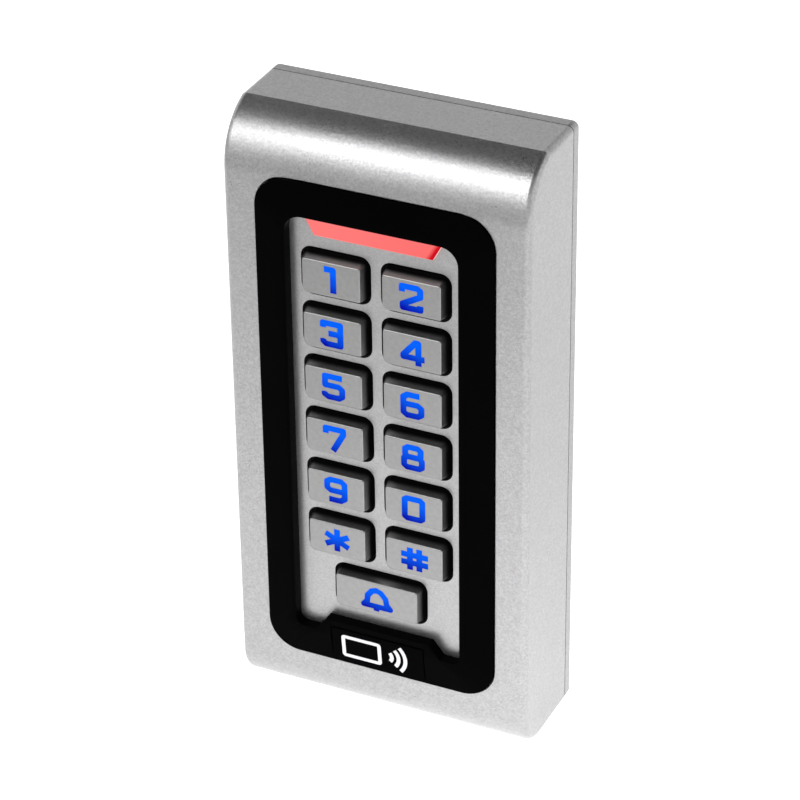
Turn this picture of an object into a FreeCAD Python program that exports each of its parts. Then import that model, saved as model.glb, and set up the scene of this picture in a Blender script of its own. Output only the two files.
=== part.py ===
import FreeCAD, Part
import math
import os
import re
import Sketcher

# Keypad access reader: a cast metal wall unit with thirteen lit push keys.
#
# Millimetres. X runs to the right as the user sees the keys, Z runs up, and Y runs
# from the user into the wall. The wall is the plane Y = 0 and the origin is the
# centre of the back face. Distances called "off the wall" are measured along -Y.

SIZES = (
    # Keys and the windows that they move in
    ("key_width", 13.0),
    ("bell_width", 19.0),
    ("key_height", 7.8),
    ("key_draft", 0.6),
    ("key_side_gap", 0.8),
    ("key_end_gap", 1.03),
    ("key_rise", 2.5),
    ("key_corner", 0.45),
    ("key_soft_corner", 1.3),
    ("key_bevel", 0.25),
    ("key_flange_lap", 0.5),
    ("key_flange", 0.8),
    ("key_travel", 1.0),
    ("key_window_corner", 2.5),
    ("column_rib", 2.18),
    ("row_rib", 1.52),
    ("bell_rib", 1.44),
    ("glyph_width", 5.4),
    ("glyph_margin", 1.0),
    ("glyph_stroke", 1.35),
    ("legend_thickness", 0.35),
    ("legend_stand", 0.04),
    # Plate around the keys, as far as the bezel lets it show
    ("side_land", 2.46),
    ("head_land", 7.57),
    ("foot_land", 6.17),
    ("plate_thickness", 1.5),
    ("plate_corner", 2.4),
    ("plate_gap", 0.9),
    # Bezel and the ledge that it sits on
    ("side_band", 7.3),
    ("head_band", 7.15),
    ("foot_band", 7.95),
    ("bezel_corner", 7.3),
    ("bezel_gap", 0.08),
    ("bezel_recess", 1.4),
    ("bezel_edge_rise", 0.5),
    ("bezel_crest_rise", 1.8),
    ("bezel_land", 0.9),
    ("ledge_width", 4.5),
    ("window_corner", 4.0),
    ("window_foot_corner", 1.8),
    ("tab_shoulder", 4.55),
    ("tab_flare", 2.6),
    ("tab_rise", 3.2),
    ("label_side_gap", 1.4),
    ("label_foot_gap", 0.9),
    ("label_head_gap", 1.7),
    ("label_thickness", 0.3),
    ("label_play", 0.3),
    # Casting around the bezel
    ("side_margin", 7.35),
    ("end_margin", 12.35),
    ("housing_depth", 25.0),
    ("wall", 2.6),
    ("crown_radius", 13.8),
    ("crease_setback", 9.45),
    ("crease_radius", 0.6),
    ("chin_radius", 8.3),
    ("edge_radius", 1.5),
    # Back cover, its seal and its cable entry
    ("cover_edge", 3.0),
    ("cover_base", 2.0),
    ("cover_rim", 3.6),
    ("seam_gap", 0.25),
    ("gasket_inset", 0.9),
    ("gasket_width", 1.2),
    ("gasket_seat", 1.0),
    ("wall_screw_spacing", 60.0),
    ("wall_screw_hole_radius", 2.2),
    ("cable_entry_drop", 12.0),
    ("cable_bore_radius", 4.0),
    ("grommet_neck_radius", 6.5),
    ("grommet_flange_radius", 8.0),
    ("grommet_flange_thickness", 1.2),
    # Hooks at the top and the security screw at the bottom
    ("hook_spacing", 32.0),
    ("hook_width", 7.0),
    ("hook_thickness", 2.2),
    ("hook_clearance", 0.4),
    ("rib_height", 2.2),
    ("rib_thickness", 2.0),
    ("rib_off_wall", 6.2),
    ("lug_width", 8.0),
    ("lug_height", 7.0),
    ("lug_off_wall", 12.0),
    ("lug_clearance", 0.2),
    ("security_off_wall", 8.0),
    ("security_shank_radius", 1.5),
    ("security_head_radius", 3.0),
    ("security_head_height", 1.2),
    ("security_length", 6.5),
    ("security_socket_radius", 1.65),
    ("security_socket_depth", 0.84),
    ("insert_radius", 2.1),
    ("insert_length", 5.0),
    # Light bar
    ("bar_height", 4.3),
    ("bar_side_gap", 3.85),
    ("bar_flare", 2.3),
    ("bar_head_gap", 0.1),
    ("bar_rise", 1.2),
    ("bar_stem_inset", 2.2),
    ("bar_stem_height", 2.0),
    ("bar_slot_clearance", 0.2),
    ("bar_lamp_gap", 0.4),
    # Dome mat, keypad board and what is on it
    ("dome_stop", 0.3),
    ("dome_radius", 4.2),
    ("dome_top_radius", 3.2),
    ("dome_skin", 0.7),
    ("web_thickness", 0.8),
    ("mat_side_lap", 1.65),
    ("mat_end_lap", 0.6),
    ("mat_gap", 0.3),
    ("board_thickness", 1.6),
    ("board_setback", 1.0),
    ("pad_radius", 2.2),
    ("pad_thickness", 0.1),
    ("lamp_width", 1.6),
    ("lamp_height", 0.8),
    ("lamp_thickness", 0.5),
    ("lamp_window", 2.4),
    ("lamp_gap", 0.3),
    ("status_lamp_end", 3.0),
    ("coil_gap", 0.75),
    ("coil_end_gap", 4.0),
    ("coil_band", 1.8),
    ("coil_thickness", 1.0),
    # Carrier that clamps the plate, the mat and the board
    ("carrier_reach", 2.35),
    ("carrier_setback", 2.65),
    ("carrier_corner", 3.0),
    ("carrier_lap", 1.2),
    ("carrier_rim", 0.32),
    ("carrier_rim_gap", 0.3),
    # Small screws
    ("screw_radius", 1.0),
    ("screw_clearance", 0.15),
    ("screw_head_radius", 1.75),
    ("screw_head_height", 1.1),
    ("screw_slot_width", 0.4),
    ("screw_slot_depth", 0.4),
    ("screw_end_gap", 0.3),
    ("bezel_screw_end", 12.65),
    ("bezel_screw_grip", 1.3),
    ("board_screw_edge", 2.9),
    ("screw_stagger", 15.0),
    ("board_screw_grip", 2.0),
    # Controller board behind the keypad board
    ("controller_side_setback", 4.5),
    ("controller_end_setback", 15.0),
    ("standoff_length", 5.0),
    ("standoff_radius", 2.4),
    ("standoff_tail_radius", 1.5),
    ("standoff_gap", 1.4),
    ("standoff_end", 6.0),
    ("controller_screw_grip", 3.0),
    ("chip_side", 10.0),
    ("chip_thickness", 1.2),
    ("chip_across", 10.0),
    ("chip_drop", 14.0),
    ("reader_chip_side", 6.0),
    ("reader_chip_across", 12.0),
    ("reader_chip_rise", 2.0),
    ("part_edge", 3.0),
    ("part_gap", 3.0),
    ("relay_width", 15.0),
    ("relay_height", 10.0),
    ("relay_thickness", 7.5),
    ("buzzer_radius", 6.0),
    ("buzzer_thickness", 5.5),
    ("buzzer_hole_radius", 1.0),
    ("header_width", 25.4),
    ("header_height", 5.0),
    ("header_end", 12.0),
    ("connector_width", 7.0),
    ("connector_pitch", 3.5),
    ("connector_thickness", 7.0),
    ("connector_gap", 4.0),
    ("wire_hole_radius", 1.2),
    ("wire_hole_depth", 4.8),
    ("tamper_radius", 2.5),
    ("tamper_thickness", 3.5),
    ("tamper_window_radius", 2.0),
    ("tamper_across", 12.0),
    ("tamper_end", 9.0),
    # How far joined features sink into each other, and how far a cutter overshoots
    ("bite", 0.2),
    ("overcut", 1.0),
)
ROWS = 6
WIRE_WAYS = 9

# Sizes that follow from the ones above, from the keys outwards. Heights are counted
# from the middle of the reader; window_bottom and tab_top are distances below it.
FOLLOWING = {
    "key_window_width": "(key_width + 2 * key_draft + 2 * key_side_gap)",
    "bell_window_width": "(bell_width + 2 * key_draft + 2 * key_side_gap)",
    "key_window_height": "(key_height + 2 * key_draft + 2 * key_end_gap)",
    "column_spacing": "(key_window_width + column_rib)",
    "row_spacing": "(key_window_height + row_rib)",
    "bell_spacing": "(key_window_height + bell_rib)",
    "glyph_height": "(key_height - 2 * glyph_margin)",
    "window_width": "(column_spacing + key_window_width + 2 * side_land)",
    "rows_height": f"({ROWS - 1} * row_spacing + bell_spacing + key_window_height)",
    "window_height": "(head_land + rows_height + foot_land)",
    "bezel_width": "(window_width + 2 * side_band)",
    "bezel_height": "(head_band + window_height + foot_band)",
    "housing_width": "(bezel_width + 2 * side_margin)",
    "housing_height": "(bezel_height + 2 * end_margin)",
    "window_top": "(bezel_height / 2 - head_band)",
    "window_bottom": "(window_height - window_top)",
    "first_row": "(window_top - head_land - key_window_height / 2)",
    "bell_row": f"(first_row - {ROWS - 1} * row_spacing - bell_spacing)",
    "tab_half_foot": "(window_width / 2 - tab_shoulder)",
    "tab_half_top": "(tab_half_foot - tab_flare)",
    "tab_top": "(window_bottom - tab_rise)",
    "label_width": "(2 * tab_half_top - 2 * label_side_gap)",
    "label_rise": "(bezel_crest_rise - bezel_edge_rise)",
    "label_run": "(bezel_height / 2 - tab_top)",
    "label_length": "sqrt(label_rise * label_rise + label_run * label_run)",
    "label_head": "(label_length - label_head_gap)",
    "bar_half_head": "(window_width / 2 - bar_side_gap)",
    "bar_half_foot": "(bar_half_head - bar_flare)",
    "bar_foot": "(window_top - bar_height)",
    "bar_middle": "(window_top - bar_height / 2)",
    "bar_stem_width": "(2 * bar_half_foot - 2 * bar_stem_inset)",
    "plate_width": "(bezel_width - 2 * ledge_width - 2 * plate_gap)",
    "plate_height": "(bezel_height - 2 * ledge_width - 2 * plate_gap)",
    "carrier_width": "(bezel_width + 2 * carrier_reach)",
    "carrier_height": "(bezel_height - 2 * carrier_setback)",
    "carrier_window_width": "(plate_width - 2 * carrier_lap)",
    "carrier_window_height": "(plate_height - 2 * carrier_lap)",
    "mat_width": "(carrier_window_width + 2 * mat_side_lap)",
    "mat_height": "(carrier_window_height + 2 * mat_end_lap)",
    "lamp_offset": "(dome_radius + lamp_window / 2 + lamp_gap)",
    "status_lamp_spacing": "(bar_stem_width / 2 - status_lamp_end)",
    "board_width": "(carrier_width - 2 * board_setback)",
    "board_height": "(carrier_height - 2 * board_setback)",
    "bezel_screw_column": "(bezel_width / 2 - ledge_width / 2)",
    "bezel_screw_row": "(bezel_height / 2 - bezel_screw_end)",
    "board_screw_column": "(carrier_width / 2 - board_screw_edge)",
    "board_screw_row": "(bezel_screw_row - screw_stagger)",
    "coil_half_width": "(board_screw_column - screw_head_radius - coil_gap)",
    "coil_half_height": "(board_height / 2 - coil_end_gap)",
    "controller_width": "(board_width - 2 * controller_side_setback)",
    "controller_height": "(board_height - 2 * controller_end_setback)",
    "standoff_column": "(coil_half_width - coil_band - standoff_radius - standoff_gap)",
    "standoff_row": "(controller_height / 2 - standoff_end)",
    "upper_part_row": "(standoff_row - screw_head_radius - part_gap - buzzer_radius)",
    "relay_column": "(-controller_width / 2 + part_edge + relay_width / 2)",
    "buzzer_column": "(controller_width / 2 - part_edge - buzzer_radius)",
    "connector_length": f"({WIRE_WAYS} * connector_pitch)",
    "connector_column": "(controller_width / 2 - part_edge - connector_width / 2)",
    "connector_row": "(-standoff_row + screw_head_radius + connector_gap + connector_length / 2)",
    "tamper_row": "(-controller_height / 2 + tamper_end)",
    "header_row": "(-controller_height / 2 + header_end)",
    # Levels off the wall
    "seam": "(cover_edge + seam_gap)",
    "front_inside": "(housing_depth - wall)",
    "ledge": "(housing_depth - bezel_recess)",
    "bezel_edge": "(housing_depth + bezel_edge_rise)",
    "bezel_crest": "(housing_depth + bezel_crest_rise)",
    "plate_back": "(front_inside + carrier_rim)",
    "plate_front": "(plate_back + plate_thickness)",
    "flange_back": "(plate_back - key_flange)",
    "key_face": "(plate_front + key_rise)",
    "dome_height": "(key_travel + dome_stop)",
    "web_front": "(flange_back - dome_height)",
    "board_front": "(web_front - web_thickness)",
    "bar_stem_base": "(board_front + lamp_thickness + bar_lamp_gap)",
    "bezel_head_level": "(board_front + screw_head_height + bite)",
    "board_back": "(board_front - board_thickness)",
    "controller_front": "(board_back - standoff_length)",
    "controller_back": "(controller_front - board_thickness)",
    # Outline of the casting as seen from the side
    "half_width": "(housing_width / 2)",
    "half_height": "(housing_height / 2)",
    "crest_reach": "(crown_radius - crease_setback)",
    "crown_height": "sqrt(crown_radius * crown_radius - crest_reach * crest_reach)",
    "crown_start": "(half_height - crown_height)",
    "lug_foot": "(half_height - wall - lug_clearance)",
}
NAMES = {name for name, _ in SIZES}

DOC = FreeCAD.newDocument("KeypadReader")
SHEET = DOC.addObject("Spreadsheet::Sheet", "Sizes")
AXIS_TO_FRONT = FreeCAD.Rotation(FreeCAD.Vector(1, 0, 0), 90)


def fill_sheet():
    """Writes each driving size into the sheet, as plain text with its own alias."""
    for row, (name, size) in enumerate(SIZES, start=1):
        SHEET.set(f"A{row}", name.replace("_", " "))
        SHEET.set(f"B{row}", str(size))
        SHEET.setAlias(f"B{row}", name)
    DOC.recompute()


def bound(text):
    """The formula with every size written as a cell of the sheet."""
    def cell(word):
        if word[0] in FOLLOWING:
            return bound(FOLLOWING[word[0]])
        return f"Sizes.{word[0]}" if word[0] in NAMES else word[0]

    return re.sub(r"[a-z][a-z_]*", cell, text)


def value(text):
    """The number that a formula gives now."""
    return float(SHEET.evalExpression(bound(text).replace("Sizes.", "")))


def bind(item, formulas):
    """Ties properties of an object to formulas on the sheet."""
    for path, text in formulas.items():
        item.setExpression(path, bound(text))


# ---- sketches and bodies -------------------------------------------------------------


def new_body(label):
    """An empty body whose label is the name of the piece."""
    body = DOC.addObject("PartDesign::Body", label)
    body.Label = label
    return body


def sketch_on(body, plane, offset="0", name="Outline"):
    """A sketch on one of the body's own origin planes, moved along its normal.

    XZ_Plane looks at the keys, so its offset is a distance off the wall.
    """
    sketch = body.newObject("Sketcher::SketchObject", name)
    own_plane = next(item for item in body.Origin.OriginFeatures if item.Role == plane)
    sketch.AttachmentSupport = [(own_plane, "")]
    sketch.MapMode = "FlatFace"
    bind(sketch, {"AttachmentOffset.Base.z": offset})
    return sketch


def end_of(sketch, geometry, point):
    """Which end of a sketch curve, 1 or 2, lies on the point."""
    return 1 if (sketch.getPoint(geometry, 1) - point).Length < 1e-6 else 2


def arc_between(start, end, radius):
    """The short arc of a radius from start to end, bulging to the right of that line."""
    chord = end - start
    half = chord.Length / 2
    side = FreeCAD.Vector(chord.y, -chord.x, 0).normalize()
    rise = radius - math.sqrt(max(radius * radius - half * half, 0))
    return Part.Arc(start, (start + end) * 0.5 + side * rise, end)


def draw_outline(sketch, steps):
    """A closed outline with every corner and radius bound to the sheet.

    The steps run anticlockwise. Each is (across, up, radius): the point where a
    stretch starts, and that stretch's radius where it is round and bulges out, or
    None where it is straight.
    """
    points = [FreeCAD.Vector(value(across), value(up), 0) for across, up, _ in steps]
    curves = []
    for index, (_, _, radius) in enumerate(steps):
        start = points[index]
        end = points[(index + 1) % len(points)]
        if radius is None:
            shape = Part.LineSegment(start, end)
        else:
            shape = arc_between(start, end, value(radius))
        curves.append(sketch.addGeometry(shape, False))
    sized = []
    links = []
    for index, (across, up, radius) in enumerate(steps):
        here = curves[index]
        following = curves[(index + 1) % len(curves)]
        end = points[(index + 1) % len(points)]
        near = end_of(sketch, here, points[index])
        sized.append((("DistanceX", -1, 1, here, near), across))
        sized.append((("DistanceY", -1, 1, here, near), up))
        if radius is not None:
            sized.append((("Radius", here), radius))
        ends = (here, end_of(sketch, here, end), following, end_of(sketch, following, end))
        links.append(Sketcher.Constraint("Coincident", *ends))
    sketch.addConstraint(links)
    tie(sketch, sized)


def tie(sketch, sized):
    """Adds sized constraints to a sketch and binds each to its formula."""
    numbers = sketch.addConstraint([Sketcher.Constraint(*terms, value(text)) for terms, text in sized])
    for number, (_, text) in zip(numbers, sized):
        sketch.setExpression(f"Constraints[{number}]", bound(text))


def draw_circle(sketch, radius, across="0", up="0"):
    """A circle bound to the sheet."""
    centre = FreeCAD.Vector(value(across), value(up), 0)
    circle = Part.Circle(centre, FreeCAD.Vector(0, 0, 1), value(radius))
    number = sketch.addGeometry(circle, False)
    middle = (-1, 1, number, 3)
    tie(sketch, [
        (("DistanceX", *middle), across),
        (("DistanceY", *middle), up),
        (("Radius", number), radius),
    ])


def rounded_rectangle(width, height, radius, across="0", up="0", foot_left=None):
    """Steps of a rectangle with round corners; the lower left corner may have its own radius."""
    left = f"({across} - {width} / 2)"
    right = f"({across} + {width} / 2)"
    foot = f"({up} - {height} / 2)"
    head = f"({up} + {height} / 2)"
    soft = foot_left or radius
    return [
        (f"{left} + {soft}", foot, None),
        (f"{right} - {radius}", foot, radius),
        (right, f"{foot} + {radius}", None),
        (right, f"{head} - {radius}", radius),
        (f"{right} - {radius}", head, None),
        (f"{left} + {radius}", head, radius),
        (left, f"{head} - {radius}", None),
        (left, f"{foot} + {soft}", soft),
    ]


def rectangle(width, height, across="0", up="0"):
    """Steps of a plain rectangle."""
    left = f"({across} - {width} / 2)"
    right = f"({across} + {width} / 2)"
    foot = f"({up} - {height} / 2)"
    head = f"({up} + {height} / 2)"
    return [(left, foot, None), (right, foot, None), (right, head, None), (left, head, None)]


def pad(body, sketch, length, midplane=False):
    """Adds material from the sketch towards the user, or both ways."""
    feature = body.newObject("PartDesign::Pad", "Pad")
    feature.Profile = sketch
    feature.Midplane = midplane
    bind(feature, {"Length": length})
    DOC.recompute()
    return feature


def pocket(body, sketch, length, towards_user=True, midplane=False):
    """Removes material from the sketch on, and checks that something was removed."""
    before = body.Shape.Volume
    feature = body.newObject("PartDesign::Pocket", "Pocket")
    feature.Profile = sketch
    feature.Midplane = midplane
    feature.Reversed = towards_user
    bind(feature, {"Length": length})
    DOC.recompute()
    if body.Shape.Volume >= before:
        raise ValueError(f"a pocket in {body.Label} removes nothing")
    return feature


def round_edges(body, feature, radius, wanted):
    """Rounds the edges of a feature that the test picks."""
    names = [f"Edge{number}" for number, edge in enumerate(feature.Shape.Edges, 1) if wanted(edge)]
    fillet = body.newObject("PartDesign::Fillet", "Fillet")
    fillet.Base = (feature, names)
    bind(fillet, {"Radius": radius})
    DOC.recompute()
    return fillet


def layer(label, base, thickness, outlines, circles=()):
    """A flat piece parallel to the wall: one outer outline, with holes drawn in it."""
    body = new_body(label)
    sketch = sketch_on(body, "XZ_Plane", base)
    for steps in outlines:
        draw_outline(sketch, steps)
    for radius, across, up in circles:
        draw_circle(sketch, radius, across, up)
    pad(body, sketch, thickness)
    return body


# ---- primitives ----------------------------------------------------------------------


def block(name, width, height, thickness, across, up, base):
    """A box centred on (across, up) that stands on a level off the wall."""
    box = DOC.addObject("Part::Box", name)
    bind(box, {
        "Length": width,
        "Width": thickness,
        "Height": height,
        "Placement.Base.x": f"{across} - {width} / 2",
        "Placement.Base.y": f"-({base}) - {thickness}",
        "Placement.Base.z": f"{up} - {height} / 2",
    })
    return box


def rod(name, radius, length, across, up, base, end_radius=None):
    """A round piece that stands on a level off the wall and points at the user."""
    if end_radius is None:
        item = DOC.addObject("Part::Cylinder", name)
        bind(item, {"Radius": radius, "Height": length})
    else:
        item = DOC.addObject("Part::Cone", name)
        bind(item, {"Radius1": radius, "Radius2": end_radius, "Height": length})
    item.Placement = FreeCAD.Placement(FreeCAD.Vector(), AXIS_TO_FRONT)
    bind(item, {
        "Placement.Base.x": across,
        "Placement.Base.y": f"-({base})",
        "Placement.Base.z": up,
    })
    return item


def joined(label, items):
    """One solid from several that overlap or touch."""
    item = DOC.addObject("Part::MultiFuse", label)
    item.Shapes = items
    item.Label = label
    return item


def grouped(label, items):
    """Separate solids that share one name, such as a set of screws."""
    item = DOC.addObject("Part::Compound", label)
    item.Links = items
    item.Label = label
    return item


def cut(label, base, tool):
    """The base without the tool."""
    item = DOC.addObject("Part::Cut", label)
    item.Base = base
    item.Tool = tool
    item.Label = label
    return item


# ---- casting, cover and what closes them ----------------------------------------------


def casting_steps(inset, rear):
    """Side view of the casting, drawn inwards by an inset: crown above, chin below."""
    front = f"-(housing_depth - {inset})"
    head = f"(half_height - {inset})"
    foot = f"-(half_height - {inset})"
    crown = f"(crown_radius - {inset})"
    rise = f"({head} - crown_start)"
    crease = f"{front} + {crown} - sqrt({crown} * {crown} - {rise} * {rise})"
    chin = f"(chin_radius - {inset})"
    return [
        (f"-({rear})", foot, None),
        (f"-({rear})", head, None),
        (crease, head, crown),
        (front, "crown_start", None),
        (front, f"{foot} + {chin}", chin),
        (f"{front} + {chin}", foot, None),
    ]


def side_edge(edge):
    """True for an outer side edge of the casting that the hand can reach."""
    box = edge.BoundBox
    on_side = abs(abs(box.Center.x) - value("half_width")) < 1e-3 and box.XLength < 1e-3
    return on_side and box.YMin < -value("seam") - 1e-3


def crease_edge(edge):
    """True for the long edge where the crown meets the flat top."""
    box = edge.BoundBox
    on_top = abs(box.Center.z - value("half_height")) < 1e-3 and box.XLength > value("half_width")
    return on_top and box.YMax < -value("seam") - 1e-3


def front_housing():
    """Cast metal shell with a rolled crown, a stepped opening for the bezel and two hook ribs."""
    body = new_body("front_housing")
    profile = sketch_on(body, "YZ_Plane", name="Profile")
    draw_outline(profile, casting_steps("0", "seam"))
    shell = pad(body, profile, "housing_width", midplane=True)
    crease = round_edges(body, shell, "crease_radius", crease_edge)
    round_edges(body, crease, "edge_radius", side_edge)

    cavity = sketch_on(body, "YZ_Plane", name="Cavity")
    draw_outline(cavity, casting_steps("wall", "(seam - wall)"))
    pocket(body, cavity, "housing_width - 2 * wall", midplane=True)

    seat = sketch_on(body, "XZ_Plane", "ledge", "BezelSeat")
    draw_outline(seat, rounded_rectangle("bezel_width", "bezel_height", "bezel_corner"))
    pocket(body, seat, "2 * bezel_recess")

    opening = sketch_on(body, "XZ_Plane", "(front_inside - wall)", "Opening")
    draw_outline(opening, ledge_opening("0"))
    pocket(body, opening, "3 * wall")

    holes = sketch_on(body, "XZ_Plane", "(front_inside - wall)", "BezelScrewHoles")
    for across, up in bezel_screw_places():
        draw_circle(holes, "(screw_radius + screw_clearance)", across, up)
    pocket(body, holes, "3 * wall")

    screw_hole = sketch_on(body, "XY_Plane", "-half_height", "SecurityHole")
    draw_circle(screw_hole, "(security_shank_radius + screw_clearance)", "0", "-security_off_wall")
    pocket(body, screw_hole, "2 * wall")
    head_seat = sketch_on(body, "XY_Plane", "-half_height", "SecurityHeadSeat")
    draw_circle(head_seat, "(security_head_radius + screw_clearance)", "0", "-security_off_wall")
    pocket(body, head_seat, "security_head_height")

    ribs = sketch_on(body, "XZ_Plane", "rib_off_wall", "HookRibs")
    for side in ("-", ""):
        middle = "(half_height - wall - rib_height / 2 + bite / 2)"
        across = f"({side}hook_spacing / 2)"
        draw_outline(ribs, rectangle("(1.15 * hook_width)", "(rib_height + bite)", across, middle))
    pad(body, ribs, "rib_thickness")
    return body


def ledge_opening(inset):
    """Steps of the hole inside the bezel ledge, drawn inwards by an inset."""
    width = f"(bezel_width - 2 * ledge_width - 2 * {inset})"
    height = f"(bezel_height - 2 * ledge_width - 2 * {inset})"
    return rounded_rectangle(width, height, f"(bezel_corner - ledge_width - {inset})")


def bezel_screw_places():
    """Three screws down each side of the bezel."""
    return [
        (f"({side}bezel_screw_column)", row)
        for side in ("-", "")
        for row in ("-bezel_screw_row", "0", "bezel_screw_row")
    ]


def back_cover():
    """Moulded tray that screws to the wall and carries the hooks, the gasket and the lug."""
    body = new_body("back_cover")
    base = sketch_on(body, "XZ_Plane", "0", "Base")
    draw_outline(base, rounded_rectangle("housing_width", "housing_height", "edge_radius"))
    tray = pad(body, base, "cover_edge")
    round_edges(body, tray, "edge_radius / 2", lambda edge: abs(edge.BoundBox.YMin) < 1e-3)

    hollow = sketch_on(body, "XZ_Plane", "cover_base", "Hollow")
    inner_width = "(housing_width - 2 * cover_rim)"
    inner_height = "(housing_height - 2 * cover_rim)"
    draw_outline(hollow, rounded_rectangle(inner_width, inner_height, "edge_radius"))
    pocket(body, hollow, "2 * cover_edge")

    groove = sketch_on(body, "XZ_Plane", "(cover_edge - gasket_seat)", "GasketGroove")
    for steps in gasket_outlines():
        draw_outline(groove, steps)
    pocket(body, groove, "2 * gasket_seat")

    holes = sketch_on(body, "XZ_Plane", "0", "Holes")
    for side in ("-", ""):
        draw_circle(holes, "wall_screw_hole_radius", "0", f"({side}wall_screw_spacing / 2)")
    draw_circle(holes, "grommet_neck_radius", "0", "-cable_entry_drop")
    draw_circle(holes, "tamper_window_radius", *TAMPER_PLACE)
    pocket(body, holes, "2 * cover_base")

    toe_base = "(rib_off_wall + rib_thickness + hook_clearance / 2)"
    leg_head = "(half_height - wall - rib_height - hook_clearance)"
    legs = sketch_on(body, "XZ_Plane", "(cover_base - bite)", "HookLegs")
    toes = sketch_on(body, "XZ_Plane", toe_base, "HookToes")
    for side in ("-", ""):
        across = f"({side}hook_spacing / 2)"
        leg_middle = f"({leg_head} - hook_thickness / 2)"
        draw_outline(legs, rectangle("hook_width", "hook_thickness", across, leg_middle))
        toe_height = "(hook_thickness + rib_height)"
        toe_middle = f"({leg_head} - hook_thickness + {toe_height} / 2)"
        draw_outline(toes, rectangle("hook_width", toe_height, across, toe_middle))
    pad(body, legs, f"{toe_base} + hook_thickness - cover_base + bite")
    pad(body, toes, "hook_thickness")

    lug = sketch_on(body, "XZ_Plane", "(cover_base - bite)", "Lug")
    lug_middle = "(-lug_foot + lug_height / 2)"
    draw_outline(lug, rectangle("lug_width", "lug_height", "0", lug_middle))
    pad(body, lug, "(lug_off_wall - cover_base + bite)")
    lug_hole = sketch_on(body, "XY_Plane", "-lug_foot", "InsertHole")
    draw_circle(lug_hole, "insert_radius", "0", "-security_off_wall")
    pocket(body, lug_hole, "(insert_length + overcut)")
    return body


def gasket_outlines():
    """Outer and inner edge of the sealing ring, as it lies in the cover's groove."""
    outlines = []
    for inset in ("gasket_inset", "(gasket_inset + gasket_width)"):
        width = f"(housing_width - 2 * {inset})"
        height = f"(housing_height - 2 * {inset})"
        outlines.append(rounded_rectangle(width, height, "edge_radius"))
    return outlines


def cover_gasket():
    """Rubber ring between the cover and the casting, which closes the seam."""
    thickness = "(gasket_seat + seam_gap)"
    return layer("cover_gasket", "(cover_edge - gasket_seat)", thickness, gasket_outlines())


def cable_grommet():
    """Rubber bush in the cover where the wall cable comes in."""
    place = ("0", "-cable_entry_drop")
    neck = rod("grommet_neck", "grommet_neck_radius", "cover_base", *place, "0")
    flange = rod("grommet_flange", "grommet_flange_radius", "grommet_flange_thickness", *place, "cover_base")
    bore = rod("grommet_bore", "cable_bore_radius", "4 * cover_base", *place, "-cover_base")
    return cut("cable_grommet", joined("grommet_body", [neck, flange]), bore)


def upright(item, up):
    """Stands a round piece on end in the bottom wall, on the security screw's axis."""
    bind(item, {"Placement.Base.y": "-security_off_wall", "Placement.Base.z": up})
    return item


def security_parts():
    """The screw that locks the casting onto the cover, and the brass insert it bites in."""
    head = DOC.addObject("Part::Cylinder", "security_head")
    bind(head, {"Radius": "security_head_radius", "Height": "security_head_height"})
    shank = DOC.addObject("Part::Cylinder", "security_shank")
    shank_length = "(security_length + security_head_height)"
    bind(shank, {"Radius": "security_shank_radius", "Height": shank_length})
    socket = DOC.addObject("Part::Prism", "security_socket")
    socket.Polygon = 6
    bind(socket, {"Circumradius": "security_socket_radius", "Height": "security_socket_depth"})
    for item in (head, shank, socket):
        upright(item, "-half_height")
    screw = cut("security_screw", joined("security_blank", [head, shank]), socket)

    sleeve = DOC.addObject("Part::Cylinder", "insert_sleeve")
    bind(sleeve, {"Radius": "insert_radius", "Height": "insert_length"})
    thread = DOC.addObject("Part::Cylinder", "insert_thread")
    bind(thread, {"Radius": "security_shank_radius", "Height": "insert_length"})
    for item in (sleeve, thread):
        upright(item, "-lug_foot")
    return [screw, cut("security_insert", sleeve, thread)]


# ---- bezel, plate and light bar --------------------------------------------------------


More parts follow.
